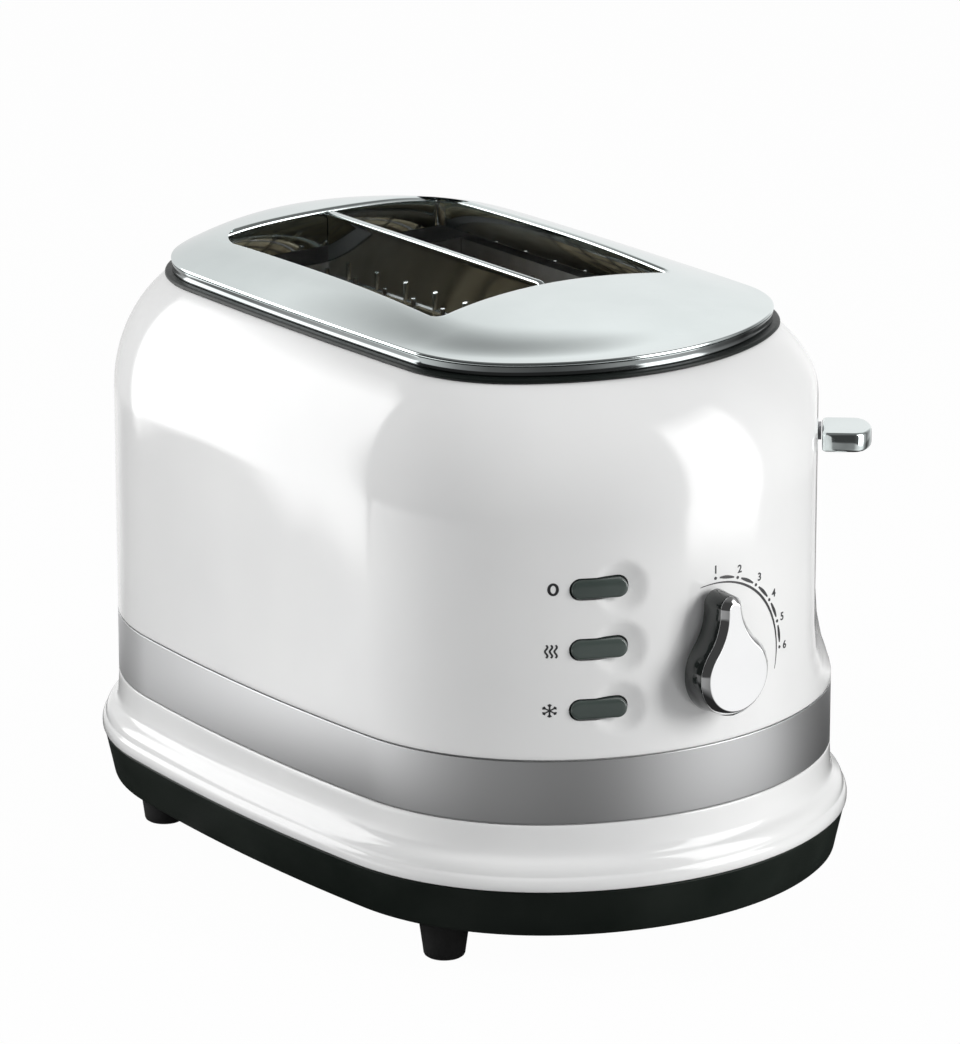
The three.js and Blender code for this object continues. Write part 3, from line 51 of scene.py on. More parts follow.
Point = tuple[float, float, float]
Flat = tuple[float, float]
Colour = tuple[float, float, float]
Counts = tuple[int, int, int]
Stops = Sequence[tuple[float, Colour]]
Piece = bpy.types.Object
Socket = bpy.types.NodeSocket

# How far printed marks stand out of the wall, and how far they reach into it.
INK_FACE = 0.00006
INK_ROOT = -0.0001


# Mesh tools

def deselect_all() -> None:
    """Leaves object mode with nothing selected."""
    if bpy.context.object and bpy.context.object.mode != "OBJECT":
        bpy.ops.object.mode_set(mode="OBJECT")
    bpy.ops.object.select_all(action="DESELECT")


def pick(*objects: Piece) -> None:
    """Selects only these objects, the first one active.

    Args:
        *objects: The objects to select.
    """
    deselect_all()
    for one in objects:
        one.select_set(True)
    bpy.context.view_layer.objects.active = objects[0]


def edit(piece: Piece, everything: bool = True) -> None:
    """Opens a piece in edit mode with all or nothing of it selected.

    Args:
        piece: The piece to open.
        everything: Whether all of it is selected.
    """
    pick(piece)
    bpy.ops.object.mode_set(mode="EDIT")
    bpy.ops.mesh.select_all(action="SELECT" if everything else "DESELECT")


def close_edit() -> None:
    """Back to object mode."""
    bpy.ops.object.mode_set(mode="OBJECT")


def face_outwards(piece: Piece, weld: float = 1e-6) -> None:
    """Merges doubles, then turns every face outwards.

    Args:
        piece: The piece.
        weld: How near two vertices are merged.
    """
    edit(piece)
    bpy.ops.mesh.remove_doubles(threshold=weld)
    bpy.ops.mesh.normals_make_consistent(inside=False)
    close_edit()


def smooth(piece: Piece, degrees: float = 35.0) -> None:
    """Smooth shading that keeps edges sharper than an angle."""
    pick(piece)
    bpy.ops.object.shade_smooth_by_angle(angle=math.radians(degrees))


def settle(piece: Piece) -> None:
    """Applies a piece's place, turn and size to its mesh."""
    pick(piece)
    bpy.ops.object.transform_apply(location=True, rotation=True, scale=True)


def apply_modifiers(piece: Piece) -> None:
    """Applies all modifiers of a piece in order.

    Args:
        piece: The piece.
    """
    pick(piece)
    for modifier in list(piece.modifiers):
        bpy.ops.object.modifier_apply(modifier=modifier.name)


def fuse(name: str, pieces: Sequence[Piece]) -> Piece:
    """Joins several meshes into one object.

    Args:
        name: The joined piece's name.
        pieces: The meshes to join.

    Returns:
        The joined piece.
    """
    pick(*pieces)
    if len(pieces) > 1:
        bpy.ops.object.join()
    joined = bpy.context.view_layer.objects.active
    joined.name = name
    joined.data.name = name
    return joined


def carve(piece: Piece, cutter: Piece) -> None:
    """Takes a cutter out of a piece and removes the cutter.

    Args:
        piece: The piece to cut.
        cutter: The closed mesh that is taken out of it.
    """
    modifier = piece.modifiers.new("cut", "BOOLEAN")
    modifier.operation = "DIFFERENCE"
    modifier.solver = "EXACT"
    modifier.object = cutter
    apply_modifiers(piece)
    bpy.data.objects.remove(cutter)


def copy_to(source: Piece, name: str, offset: Point) -> Piece:
    """Copies a piece with its own mesh and moves the mesh.

    Args:
        source: The piece to copy.
        name: The copy's name.
        offset: How far the copy's mesh moves.

    Returns:
        The copy.
    """
    made = source.copy()
    made.data = source.data.copy()
    made.name = name
    made.data.name = name
    bpy.context.scene.collection.objects.link(made)
    edit(made)
    bpy.ops.transform.translate(value=offset)
    close_edit()
    return made


def ring_stack(
    name: str,
    rings: Sequence[Sequence[Point]],
    closed: bool = False,
    caps: bool = False,
    wrap: bool = False,
) -> Piece:
    """Extrudes a circle ring by ring, then draws every ring onto its own outline.

    Args:
        name: The piece's name.
        rings: Outlines of equal count, from the first edge to the last.
        closed: Whether the last ring meets the first, so that the piece is a closed sheet.
        caps: Whether the first and last ring are closed with a face.
        wrap: Whether the piece gets a UV map with lengths round and along it.

    Returns:
        The piece.
    """
    count = len(rings[0])
    stack = list(rings) + ([rings[0]] if closed else [])
    deselect_all()
    bpy.ops.mesh.primitive_circle_add(vertices=count, radius=1.0, location=(0.0, 0.0, 0.0))
    piece = bpy.context.object
    piece.name = name
    piece.data.name = name
    bpy.ops.object.mode_set(mode="EDIT")
    bpy.ops.mesh.select_all(action="SELECT")
    for _ in stack[1:]:
        bpy.ops.mesh.extrude_region_move(TRANSFORM_OT_translate={"value": (0.0, 0.0, 1.0)})
    close_edit()
    homes = []
    for vertex in piece.data.vertices:
        angle = math.atan2(vertex.co.y, vertex.co.x) - math.pi / 2
        homes.append((round(vertex.co.z), round(angle / math.tau * count) % count))
    if wrap:
        write_wrap(piece, stack, homes)
    for vertex, (ring, column) in zip(piece.data.vertices, homes):
        vertex.co = stack[ring][column]
    if caps:
        cap_ends(piece, homes, len(stack) - 1)
    face_outwards(piece)
    return piece


def write_wrap(piece: Piece, rings: Sequence[Sequence[Point]], homes: Sequence[tuple[int, int]]) -> None:
    """Writes a UV map of real lengths: u round the piece, v along its profile.

    Args:
        piece: The piece whose faces are already extruded.
        rings: The outlines its vertices will take.
        homes: Ring and column of each vertex.
    """
    count = len(rings[0])
    middle = rings[len(rings) // 2]
    across = [0.0]
    for column in range(count):
        across.append(across[-1] + (Vector(middle[(column + 1) % count]) - Vector(middle[column])).length)
    along = [0.0]
    for low, high in zip(rings, rings[1:]):
        along.append(along[-1] + (Vector(high[0]) - Vector(low[0])).length)
    layer = piece.data.uv_layers.new(name="wrap")
    for polygon in piece.data.polygons:
        columns = [homes[piece.data.loops[i].vertex_index][1] for i in polygon.loop_indices]
        seam = max(columns) - min(columns) > 1
        for i, column in zip(polygon.loop_indices, columns):
            ring = homes[piece.data.loops[i].vertex_index][0]
            layer.data[i].uv = (across[count if seam and column == 0 else column], along[ring])


def cap_ends(piece: Piece, homes: Sequence[tuple[int, int]], last: int) -> None:
    """Closes the first and last ring with a face each.

    Args:
        piece: The open piece.
        homes: Ring and column of each vertex.
        last: The last ring's number.
    """
    for ring in (0, last):
        edit(piece, everything=False)
        bpy.ops.mesh.select_mode(type="VERT")
        close_edit()
        for vertex, home in zip(piece.data.vertices, homes):
            vertex.select = home[0] == ring
        bpy.ops.object.mode_set(mode="EDIT")
        bpy.ops.mesh.edge_face_add()
        close_edit()


def turned(name: str, profile: Sequence[Flat], sides: int, centre: Flat = (0.0, 0.0)) -> Piece:
    """A round piece from radius and height pairs, upright.

    Args:
        name: The piece's name.
        profile: Radius and height pairs from one pole or rim to the other.
        sides: How many columns go round.
        centre: Where the axis stands.

    Returns:
        The piece.
    """
    rings = [
        [(centre[0] + radius * math.cos(a), centre[1] + radius * math.sin(a), height) for a in circle(sides)]
        for radius, height in profile
    ]
    return ring_stack(name, rings, caps=True)


def circle(count: int) -> list[float]:
    """Evenly spaced angles round a circle, from zero."""
    return [math.tau * i / count for i in range(count)]


def lifted(outline: Sequence[Flat], height: float) -> list[Point]:
    """A plan outline at one height."""
    return [(x, y, height) for x, y in outline]


def between(first: Sequence[Flat], second: Sequence[Flat], share: float) -> list[Flat]:
    """The outline at a share of the way from one outline to another of equal count."""
    return [(a[0] + (b[0] - a[0]) * share, a[1] + (b[1] - a[1]) * share) for a, b in zip(first, second)]


def eased(stops: Sequence[Flat], steps: int) -> list[Flat]:
    """A smooth line through control pairs.

    Args:
        stops: The pairs it passes through.
        steps: How many pieces each stretch is cut into.

    Returns:
        The pairs on the line.
    """
    line = []
    for i in range(len(stops) - 1):
        before, start = stops[max(i - 1, 0)], stops[i]
        finish, after = stops[i + 1], stops[min(i + 2, len(stops) - 1)]
        for step in range(steps):
            t = step / steps
            pair = []
            for a, b, c, d in zip(before, start, finish, after):
                pair.append(
                    0.5 * (2 * b + (c - a) * t + (2 * a - 5 * b + 4 * c - d) * t**2 + (3 * b - a - 3 * c + d) * t**3)
                )
            line.append((pair[0], pair[1]))
    line.append(stops[-1])
    return line


def soft_min(first: float, second: float, blend: float) -> float:
    """The lesser of two lengths, rounded where they cross."""
    gap = max(blend - abs(first - second), 0.0) / blend
    return min(first, second) - gap * gap * blend / 4


def box_piece(name: str, low: Point, high: Point) -> Piece:
    """A block between two corners.

    Args:
        name: The piece's name.
        low: Lowest corner.
        high: Highest corner.

    Returns:
        The block.
    """
    deselect_all()
    middle = tuple((a + b) / 2 for a, b in zip(low, high))
    bpy.ops.mesh.primitive_cube_add(size=1.0, location=middle)
    made = bpy.context.object
    made.scale = tuple(b - a for a, b in zip(low, high))
    made.name = name
    settle(made)
    return made


# Plan outlines and frames on the wall

@dataclass(frozen=True)
class Columns:
    """How many columns each arc of a quarter plan has."""

    side: int = 22
    corner: int = 34
    end: int = 46


@dataclass(frozen=True)
class PlanOutline:
    """Plan of a wall: bowed ends, nearly straight sides and round corners, each an arc."""

    half_width: float
    half_length: float
    end_radius: float
    side_radius: float
    corner_radius: float

    @property
    def end_centre(self) -> float:
        """How far up +Y the back end's arc is centred."""
        return self.half_length - self.end_radius

    @property
    def side_centre(self) -> float:
        """Where on X the right side's arc is centred."""
        return self.half_width - self.side_radius

    def corner_centre(self) -> Flat:
        """Centre of the back right corner's arc, which touches the side and the end.

        Returns:
            The centre.
        """
        end_reach = self.end_radius - self.corner_radius
        side_reach = self.side_radius - self.corner_radius
        span = math.hypot(self.side_centre, self.end_centre)
        along = (end_reach**2 - side_reach**2 + span**2) / (2 * span)
        across = math.sqrt(max(end_reach**2 - along**2, 0.0))
        ux, uy = self.side_centre / span, -self.end_centre / span
        one = (along * ux - across * uy, self.end_centre + along * uy + across * ux)
        two = (along * ux + across * uy, self.end_centre + along * uy - across * ux)
        return one if sum(one) > sum(two) else two

    def quarter(self, growth: float, columns: Columns) -> list[Flat]:
        """Points of the back right quarter, from the side to the end.

        Args:
            growth: Offset outwards.
            columns: How finely each arc is cut.

        Returns:
            The points, with both ends of the quarter.
        """
        cx, cy = self.corner_centre()
        start = math.atan2(cy, cx - self.side_centre)
        finish = math.atan2(cy - self.end_centre, cx)
        arcs = (
            (self.side_centre, 0.0, self.side_radius, 0.0, start, columns.side),
            (cx, cy, self.corner_radius, start, finish, columns.corner),
            (0.0, self.end_centre, self.end_radius, finish, math.pi / 2, columns.end),
        )
        points = []
        for x, y, radius, low, high, steps in arcs:
            for i in range(steps):
                angle = low + (high - low) * i / steps
                points.append((x + (radius + growth) * math.cos(angle), y + (radius + growth) * math.sin(angle)))
        points.append((0.0, self.half_length + growth))
        return points

    def points(self, growth: float = 0.0, columns: Columns = Columns()) -> list[Flat]:
        """The whole outline, anticlockwise from +X.

        Args:
            growth: Offset outwards.
            columns: How finely each arc is cut.

        Returns:
            The points.
        """
        quarter = self.quarter(growth, columns)
        half = quarter + [(-x, y) for x, y in reversed(quarter[:-1])]
        return half + [(x, -y) for x, y in reversed(half[1:-1])]

    def rings(self, profile: Sequence[Flat]) -> list[list[Point]]:
        """Level rings from height and growth pairs."""
        return [lifted(self.points(growth), height) for height, growth in profile]

    def inset_of(self, x: float, y: float) -> float:
        """How far inside the outline a point lies, near the outline or far from it.

        Args:
            x: Across.
            y: Along.

        Returns:
            The distance, negative outside.
        """
        px, py = abs(x), abs(y)
        cx, cy = self.corner_centre()
        if (px - self.side_centre) * cy > py * (cx - self.side_centre):
            return self.side_radius - math.hypot(px - self.side_centre, py)
        if px * (cy - self.end_centre) < (py - self.end_centre) * cx:
            return self.end_radius - math.hypot(px, py - self.end_centre)
        return self.corner_radius - math.hypot(px - cx, py - cy)


@dataclass(frozen=True)
class WallFrame:
    """A place on the wall: its foot, and the direction that points straight out of it."""

    x: float
    y: float
    angle: float

    def place(self, out: float, across: float, up: float) -> Point:
        """A point given outwards, across to the right seen from outside, and up."""
        c, s = math.cos(self.angle), math.sin(self.angle)
        return (self.x + out * c - across * s, self.y + out * s + across * c, up)

    def out_of(self, x: float, y: float) -> Flat:
        """How far outwards and across a plan point lies.

        Args:
            x: Across the plan.
            y: Along the plan.

        Returns:
            Outwards and across.
        """
        c, s = math.cos(self.angle), math.sin(self.angle)
        dx, dy = x - self.x, y - self.y
        return (dx * c + dy * s, -dx * s + dy * c)


WALL = PlanOutline(0.0893, 0.1342, 0.0981, 0.730, 0.074)
RIM = PlanOutline(0.0702, 0.1114, 0.0865, 2.033, 0.0433)


def front_frame(x: float) -> WallFrame:
    """The frame on the front wall at a place across."""
    lean = math.asin(x / WALL.end_radius)
    return WallFrame(x, -WALL.end_centre - WALL.end_radius * math.cos(lean), lean - math.pi / 2)


def wall_point(across: float, up: float, out: float) -> Point:
    """A point on the front wall at a place across and up, lifted off it."""
    reach = WALL.end_radius + out
    return (across, -WALL.end_centre - math.sqrt(reach**2 - across**2), up)


# Finishes

class Pattern(Enum):
    """What a finish's pattern follows."""

    OBJECT = "Object"
    WRAP = "UV"


class Bench:
    """A material under work, with short ways to add its nodes."""

    def __init__(self, name: str) -> None:
        """Starts a material with one Principled shader.

        Args:
            name: The material's name.
        """
        self.material = bpy.data.materials.new(name)
        self.material.use_nodes = True
        self.nodes = self.material.node_tree.nodes
        self.links = self.material.node_tree.links
        self.shader = self.nodes["Principled BSDF"]
        self.coordinates = self.nodes.new("ShaderNodeTexCoord")

    def set(self, **values: float | Colour) -> None:
        """Sets constants on the shader's own sockets, named with _ for a space.

        Args:
            **values: The sockets and their values.
        """
        for name, value in values.items():
            socket = self.shader.inputs[name.replace("_", " ")]
            socket.default_value = (*value, 1.0) if isinstance(value, tuple) else value

    def join(self, start: Socket, finish: Socket) -> None:
        """Links two sockets."""
        self.links.new(start, finish)

    def place(self, follow: Pattern, stretch: Point = (1.0, 1.0, 1.0), turn: Point = (0.0, 0.0, 0.0)) -> Socket:
        """Coordinates for a pattern.

        Args:
            follow: What the pattern follows.
            stretch: Scale on each axis.
            turn: Turn on each axis.

        Returns:
            The coordinates.
        """
        mapping = self.nodes.new("ShaderNodeMapping")
        mapping.inputs["Scale"].default_value = stretch
        mapping.inputs["Rotation"].default_value = turn
        self.join(self.coordinates.outputs[follow.value], mapping.inputs["Vector"])
        return mapping.outputs["Vector"]

    def noise(self, where: Socket, scale: float, detail: float = 3.0, rough: float = 0.55) -> Socket:
        """A noise pattern from 0 to 1.

        Args:
            where: Coordinates.
            scale: Lumps to a metre.
            detail: Octaves.
            rough: How strong the finer octaves are.

        Returns:
            The pattern.
        """
        node = self.nodes.new("ShaderNodeTexNoise")
        node.inputs["Scale"].default_value = scale
        node.inputs["Detail"].default_value = detail
        node.inputs["Roughness"].default_value = rough
        self.join(where, node.inputs["Vector"])
        return node.outputs["Fac"]

    def cells(self, where: Socket, scale: float, feature: str = "F1") -> Socket:
        """A cell pattern's distance.

        Args:
            where: Coordinates.
            scale: Cells to a metre.
            feature: Which distance it gives.

        Returns:
            The pattern.
        """
        node = self.nodes.new("ShaderNodeTexVoronoi")
        node.feature = feature
        node.inputs["Scale"].default_value = scale
        self.join(where, node.inputs["Vector"])
        return node.outputs["Distance"]

    def waves(self, where: Socket, scale: float, axis: str, distortion: float = 0.0) -> Socket:
        """Straight bands along an axis.

        Args:
            where: Coordinates.
            scale: Bands to a metre.
            axis: Axis that they follow.
            distortion: How uneven they are.

        Returns:
            The pattern.
        """
        node = self.nodes.new("ShaderNodeTexWave")
        node.bands_direction = axis
        node.inputs["Scale"].default_value = scale
        node.inputs["Distortion"].default_value = distortion
        self.join(where, node.inputs["Vector"])
        return node.outputs["Fac"]

    def span(self, source: Socket, low: float, high: float, start: float = 0.3, finish: float = 0.7) -> Socket:
        """Maps a pattern's start to finish onto low to high.

        Args:
            source: The pattern.
            low: Result at the start.
            high: Result at the finish.
            start: Where it starts.
            finish: Where it ends.

        Returns:
            The result.
        """
        node = self.nodes.new("ShaderNodeMapRange")
        node.inputs["From Min"].default_value = start
        node.inputs["From Max"].default_value = finish
        node.inputs["To Min"].default_value = low
        node.inputs["To Max"].default_value = high
        self.join(source, node.inputs["Value"])
        return node.outputs["Result"]

    def tint(self, source: Socket, *stops: tuple[float, Colour]) -> Socket:
        """Colours a pattern by a ramp.

        Args:
            source: The pattern.
            *stops: Place and colour of each stop.

        Returns:
            The colour.
        """
        node = self.nodes.new("ShaderNodeValToRGB")
        ramp = node.color_ramp
        while len(ramp.elements) < len(stops):
            ramp.elements.new(0.5)
        for element, (place, colour) in zip(ramp.elements, stops):
            element.position = place
            element.color = (*colour, 1.0)
        self.join(source, node.inputs["Fac"])
        return node.outputs["Color"]

    def combine(self, first: Socket, second: Socket, way: str = "ADD") -> Socket:
        """Sums, multiplies or otherwise combines two patterns.

        Args:
            first: One pattern.
            second: The other.
            way: The sum that is done.

        Returns:
            The pattern.
        """
        node = self.nodes.new("ShaderNodeMath")
        node.operation = way
        self.join(first, node.inputs[0])
        self.join(second, node.inputs[1])
        return node.outputs[0]

    def weigh(self, source: Socket, amount: float) -> Socket:
        """A pattern times a number.

        Args:
            source: The pattern.
            amount: The number.

        Returns:
            The pattern.
        """
        node = self.nodes.new("ShaderNodeMath")
        node.operation = "MULTIPLY"
        node.inputs[1].default_value = amount
        self.join(source, node.inputs[0])
        return node.outputs[0]

    def mix(self, first: Socket | float | Colour, second: Socket | float | Colour, share: Socket) -> Socket:
        """Mixes two colours or plain levels by a share.

        Args:
            first: What shows at 0.
            second: What shows at 1.
            share: The share.

        Returns:
            The colour.
        """
        node = self.nodes.new("ShaderNodeMix")
        node.data_type = "RGBA"
        self.join(share, node.inputs["Factor"])
        for value, socket in zip((first, second), [one for one in node.inputs if one.type == "RGBA"]):
            if isinstance(value, float):
                socket.default_value = (value, value, value, 1.0)
            elif isinstance(value, tuple):
                socket.default_value = (*value, 1.0)
            else:
                self.join(value, socket)
        return [one for one in node.outputs if one.type == "RGBA"][0]

    def relief(self, height: Socket, depth: float, strength: float = 1.0) -> None:
        """Gives the shader a bump of a real depth.

        Args:
            height: The pattern that is raised.
            depth: Its height in metres.
            strength: How much of it shows.
        """
        node = self.nodes.new("ShaderNodeBump")
        node.inputs["Strength"].default_value = strength
        node.inputs["Distance"].default_value = depth
        self.join(height, node.inputs["Height"])
        self.join(node.outputs["Normal"], self.shader.inputs["Normal"])

    def colour(self, source: Socket) -> None:
        """Drives the base colour."""
        self.join(source, self.shader.inputs["Base Color"])

    def roughness(self, source: Socket) -> None:
        """Drives the roughness."""
        self.join(source, self.shader.inputs["Roughness"])


@dataclass(frozen=True)
class Enamel:
    """Glossy stoved enamel on sheet, with a faint orange peel and a few softer patches."""

    name: str = "white_enamel"
    light: Colour = (0.86, 0.86, 0.85)
    shade: Colour = (0.81, 0.81, 0.805)
    gloss: Flat = (0.07, 0.12)
    peel: float = 0.00002
    patch_scale: float = 14.0
    haze_scale: float = 60.0
    peel_scale: float = 420.0

    def build(self) -> bpy.types.Material:
        """Makes the material.

        Returns:
            The material.
        """
        bench = Bench(self.name)
        where = bench.place(Pattern.OBJECT)
        broad = bench.noise(where, self.patch_scale, 2.0)
        bench.colour(bench.tint(broad, (0.3, self.shade), (0.7, self.light)))
        bench.roughness(bench.span(bench.noise(where, self.haze_scale, 4.0), *self.gloss))
        bench.relief(bench.noise(where, self.peel_scale, 2.0, 0.4), self.peel, 0.35)
        bench.set(Coat_Weight=0.35, Coat_Roughness=0.03, Specular_IOR_Level=0.5)
        return bench.material


@dataclass(frozen=True)
class BrushedSteel:
    """Stainless sheet brushed along its length, with streaks, fine scratches and softer patches."""

    name: str
    light: Colour
    dark: Colour
    gloss: Flat = (0.24, 0.40)
    follow: Pattern = Pattern.WRAP
    stretch: Point = (9.0, 1100.0, 1.0)
    depth: float = 0.00002
    strength: float = 0.3
    anisotropic: float = 0.6
    patch_stretch: float = 12.0

    def build(self) -> bpy.types.Material:
        """Makes the material.

        Returns:
            The material.
        """
        bench = Bench(self.name)
        along = bench.place(self.follow, self.stretch)
        streaks = bench.noise(along, 1.0, 6.0, 0.65)
        wide = tuple(scale / self.patch_stretch for scale in self.stretch)
        broad = bench.noise(bench.place(self.follow, wide), 1.0, 3.0)
        both = bench.combine(bench.weigh(streaks, 0.7), bench.weigh(broad, 0.3))
        bench.colour(bench.tint(both, (0.3, self.dark), (0.7, self.light)))
        bench.roughness(bench.span(streaks, *self.gloss))
        bench.relief(streaks, self.depth, self.strength)
        bench.set(Metallic=1.0, Anisotropic=self.anisotropic)
        return bench.material


@dataclass(frozen=True)
class Polished:
    """Polished plate, with hazy wipe marks and hair scratches."""

    name: str
    light: Colour = (0.84, 0.905, 0.90)
    dark: Colour = (0.76, 0.825, 0.82)
    gloss: Flat = (0.045, 0.11)
    haze_scale: float = 22.0
    hair_stretch: Point = (900.0, 30.0, 900.0)
    hair_turn: Point = (0.0, 0.0, 0.4)
    hair_depth: float = 0.000004

    def build(self) -> bpy.types.Material:
        """Makes the material.

        Returns:
            The material.
        """
        bench = Bench(self.name)
        where = bench.place(Pattern.OBJECT)
        haze = bench.noise(where, self.haze_scale, 4.0)
        hairs = bench.noise(bench.place(Pattern.OBJECT, self.hair_stretch, self.hair_turn), 1.0, 3.0)
        bench.colour(bench.tint(haze, (0.3, self.dark), (0.7, self.light)))
        both = bench.combine(bench.weigh(haze, 0.7), bench.weigh(hairs, 0.3))
        bench.roughness(bench.span(both, *self.gloss))
        bench.relief(hairs, self.hair_depth, 0.2)
        bench.set(Metallic=1.0)
        return bench.material


@dataclass(frozen=True)
class Moulded:
    """Moulded plastic or rubber: even colour with faint flow marks and a fine spark-eroded grain."""

    name: str
    light: Colour
    dark: Colour
    gloss: Flat
    grain: float = 2200.0
    depth: float = 0.00003
    strength: float = 0.3
    coat: float = 0.0
    shine: float = 0.5
    flow_scale: float = 30.0

    def build(self) -> bpy.types.Material:
        """Makes the material.

        Returns:
            The material.
        """
        bench = Bench(self.name)
        where = bench.place(Pattern.OBJECT)
        flow = bench.noise(where, self.flow_scale, 3.0)
        grain = bench.noise(where, self.grain, 2.0)
        bench.colour(bench.tint(flow, (0.3, self.dark), (0.7, self.light)))
        both = bench.combine(bench.weigh(flow, 0.5), bench.weigh(grain, 0.5))
        bench.roughness(bench.span(both, *self.gloss))
        bench.relief(grain, self.depth, self.strength)
        bench.set(Coat_Weight=self.coat, Coat_Roughness=0.05, Specular_IOR_Level=self.shine)
        return bench.material


@dataclass(frozen=True)
class PlatedSheet:
    """Zinc-plated sheet with a soft spangle, rolling lines and handling haze."""

    name: str
    light: Colour
    dark: Colour
    gloss: Flat = (0.28, 0.46)
    spangle_scale: float = 160.0
    haze_scale: float = 45.0
    roll_stretch: Point = (700.0, 700.0, 24.0)
    roll_depth: float = 0.00001

    def build(self) -> bpy.types.Material:
        """Makes the material.

        Returns:
            The material.
        """
        bench = Bench(self.name)
        where = bench.place(Pattern.OBJECT)
        spangle = bench.cells(where, self.spangle_scale)
        haze = bench.noise(where, self.haze_scale, 4.0)
        rolled = bench.noise(bench.place(Pattern.OBJECT, self.roll_stretch), 1.0, 3.0)
        both = bench.combine(bench.weigh(spangle, 0.5), bench.weigh(haze, 0.5))
        bench.colour(bench.tint(both, (0.2, self.dark), (0.7, self.light)))
        bench.roughness(bench.span(bench.combine(bench.weigh(haze, 0.6), bench.weigh(rolled, 0.4)), *self.gloss))
        bench.relief(rolled, self.roll_depth, 0.25)
        bench.set(Metallic=1.0)
        return bench.material


@dataclass(frozen=True)
class MicaBoard:
    """Pressed mica board: overlapping flakes, brown veins and a waxy sheen."""

    name: str = "mica"
    stops: Stops = ((0.25, (0.30, 0.23, 0.14)), (0.5, (0.55, 0.47, 0.33)), (0.8, (0.70, 0.63, 0.48)))
    flake_scale: float = 210.0
    vein_scale: float = 70.0
    flake_depth: float = 0.00008

    def build(self) -> bpy.types.Material:
        """Makes the material.

        Returns:
            The material.
        """
        bench = Bench(self.name)
        where = bench.place(Pattern.OBJECT)
        flakes = bench.cells(where, self.flake_scale)
        veins = bench.noise(where, self.vein_scale, 6.0, 0.7)
        both = bench.combine(bench.weigh(flakes, 0.4), bench.weigh(veins, 0.6))
        bench.colour(bench.tint(both, *self.stops))
        bench.roughness(bench.span(flakes, 0.35, 0.65, 0.0, 0.6))
        bench.relief(both, self.flake_depth, 0.4)
        return bench.material


@dataclass(frozen=True)
class HeatingRibbon:
    """Rolled heating alloy with a heat-tinted oxide."""

    name: str = "heating_ribbon"
    stops: Stops = ((0.3, (0.16, 0.13, 0.12)), (0.5, (0.34, 0.29, 0.26)), (0.7, (0.46, 0.44, 0.43)))
    heat_stretch: Point = (40.0, 40.0, 90.0)
    roll_stretch: Point = (300.0, 30.0, 900.0)
    roll_depth: float = 0.00002

    def build(self) -> bpy.types.Material:
        """Makes the material.

        Returns:
            The material.
        """
        bench = Bench(self.name)
        heat = bench.noise(bench.place(Pattern.OBJECT, self.heat_stretch), 1.0, 4.0)
        bench.colour(bench.tint(heat, *self.stops))
        bench.roughness(bench.span(heat, 0.32, 0.52))
        rolled = bench.noise(bench.place(Pattern.OBJECT, self.roll_stretch), 1.0, 2.0)
        bench.relief(rolled, self.roll_depth, 0.3)
        bench.set(Metallic=0.85)
        return bench.material


@dataclass(frozen=True)
class CopperWinding:
    """Enamelled copper wire wound in close turns."""

    name: str = "copper_wire"
    stops: Stops = ((0.1, (0.20, 0.07, 0.03)), (0.7, (0.62, 0.29, 0.13)))
    turn_scale: float = 420.0
    haze_scale: float = 160.0
    turn_depth: float = 0.0002

    def build(self) -> bpy.types.Material:
        """Makes the material.

        Returns:
            The material.
        """
        bench = Bench(self.name)
        where = bench.place(Pattern.OBJECT)
        turns = bench.waves(where, self.turn_scale, "Z", 0.4)
        gloss = bench.noise(where, self.haze_scale, 3.0)
        bench.colour(bench.tint(turns, *self.stops))
        bench.roughness(bench.span(gloss, 0.22, 0.42))
        bench.relief(turns, self.turn_depth, 0.7)
        bench.set(Metallic=0.8)
        return bench.material


@dataclass(frozen=True)
class CircuitBoard:
    """Green laminate with faint tracks under the lacquer and tinned pads."""

    name: str = "circuit_board"
    stops: Stops = ((0.03, (0.05, 0.22, 0.10)), (0.06, (0.02, 0.12, 0.05)))
    pad: Colour = (0.55, 0.56, 0.57)
    pad_edge: Flat = (0.08, 0.10)
    track_scale: float = 190.0
    pad_scale: float = 260.0
    weave_stretch: Point = (900.0, 900.0, 300.0)
    weave_depth: float = 0.00002

    def build(self) -> bpy.types.Material:
        """Makes the material.

        Returns:
            The material.
        """
        bench = Bench(self.name)
        where = bench.place(Pattern.OBJECT)
        tracks = bench.cells(where, self.track_scale, "DISTANCE_TO_EDGE")
        pads = bench.cells(where, self.pad_scale)
        weave = bench.noise(bench.place(Pattern.OBJECT, self.weave_stretch), 1.0, 2.0)
        base = bench.tint(tracks, *self.stops)
        bench.colour(bench.mix(base, self.pad, bench.span(pads, 0.75, 0.0, *self.pad_edge)))
        bench.roughness(bench.span(weave, 0.3, 0.5))
        bench.relief(weave, self.weave_depth, 0.3)
        return bench.material


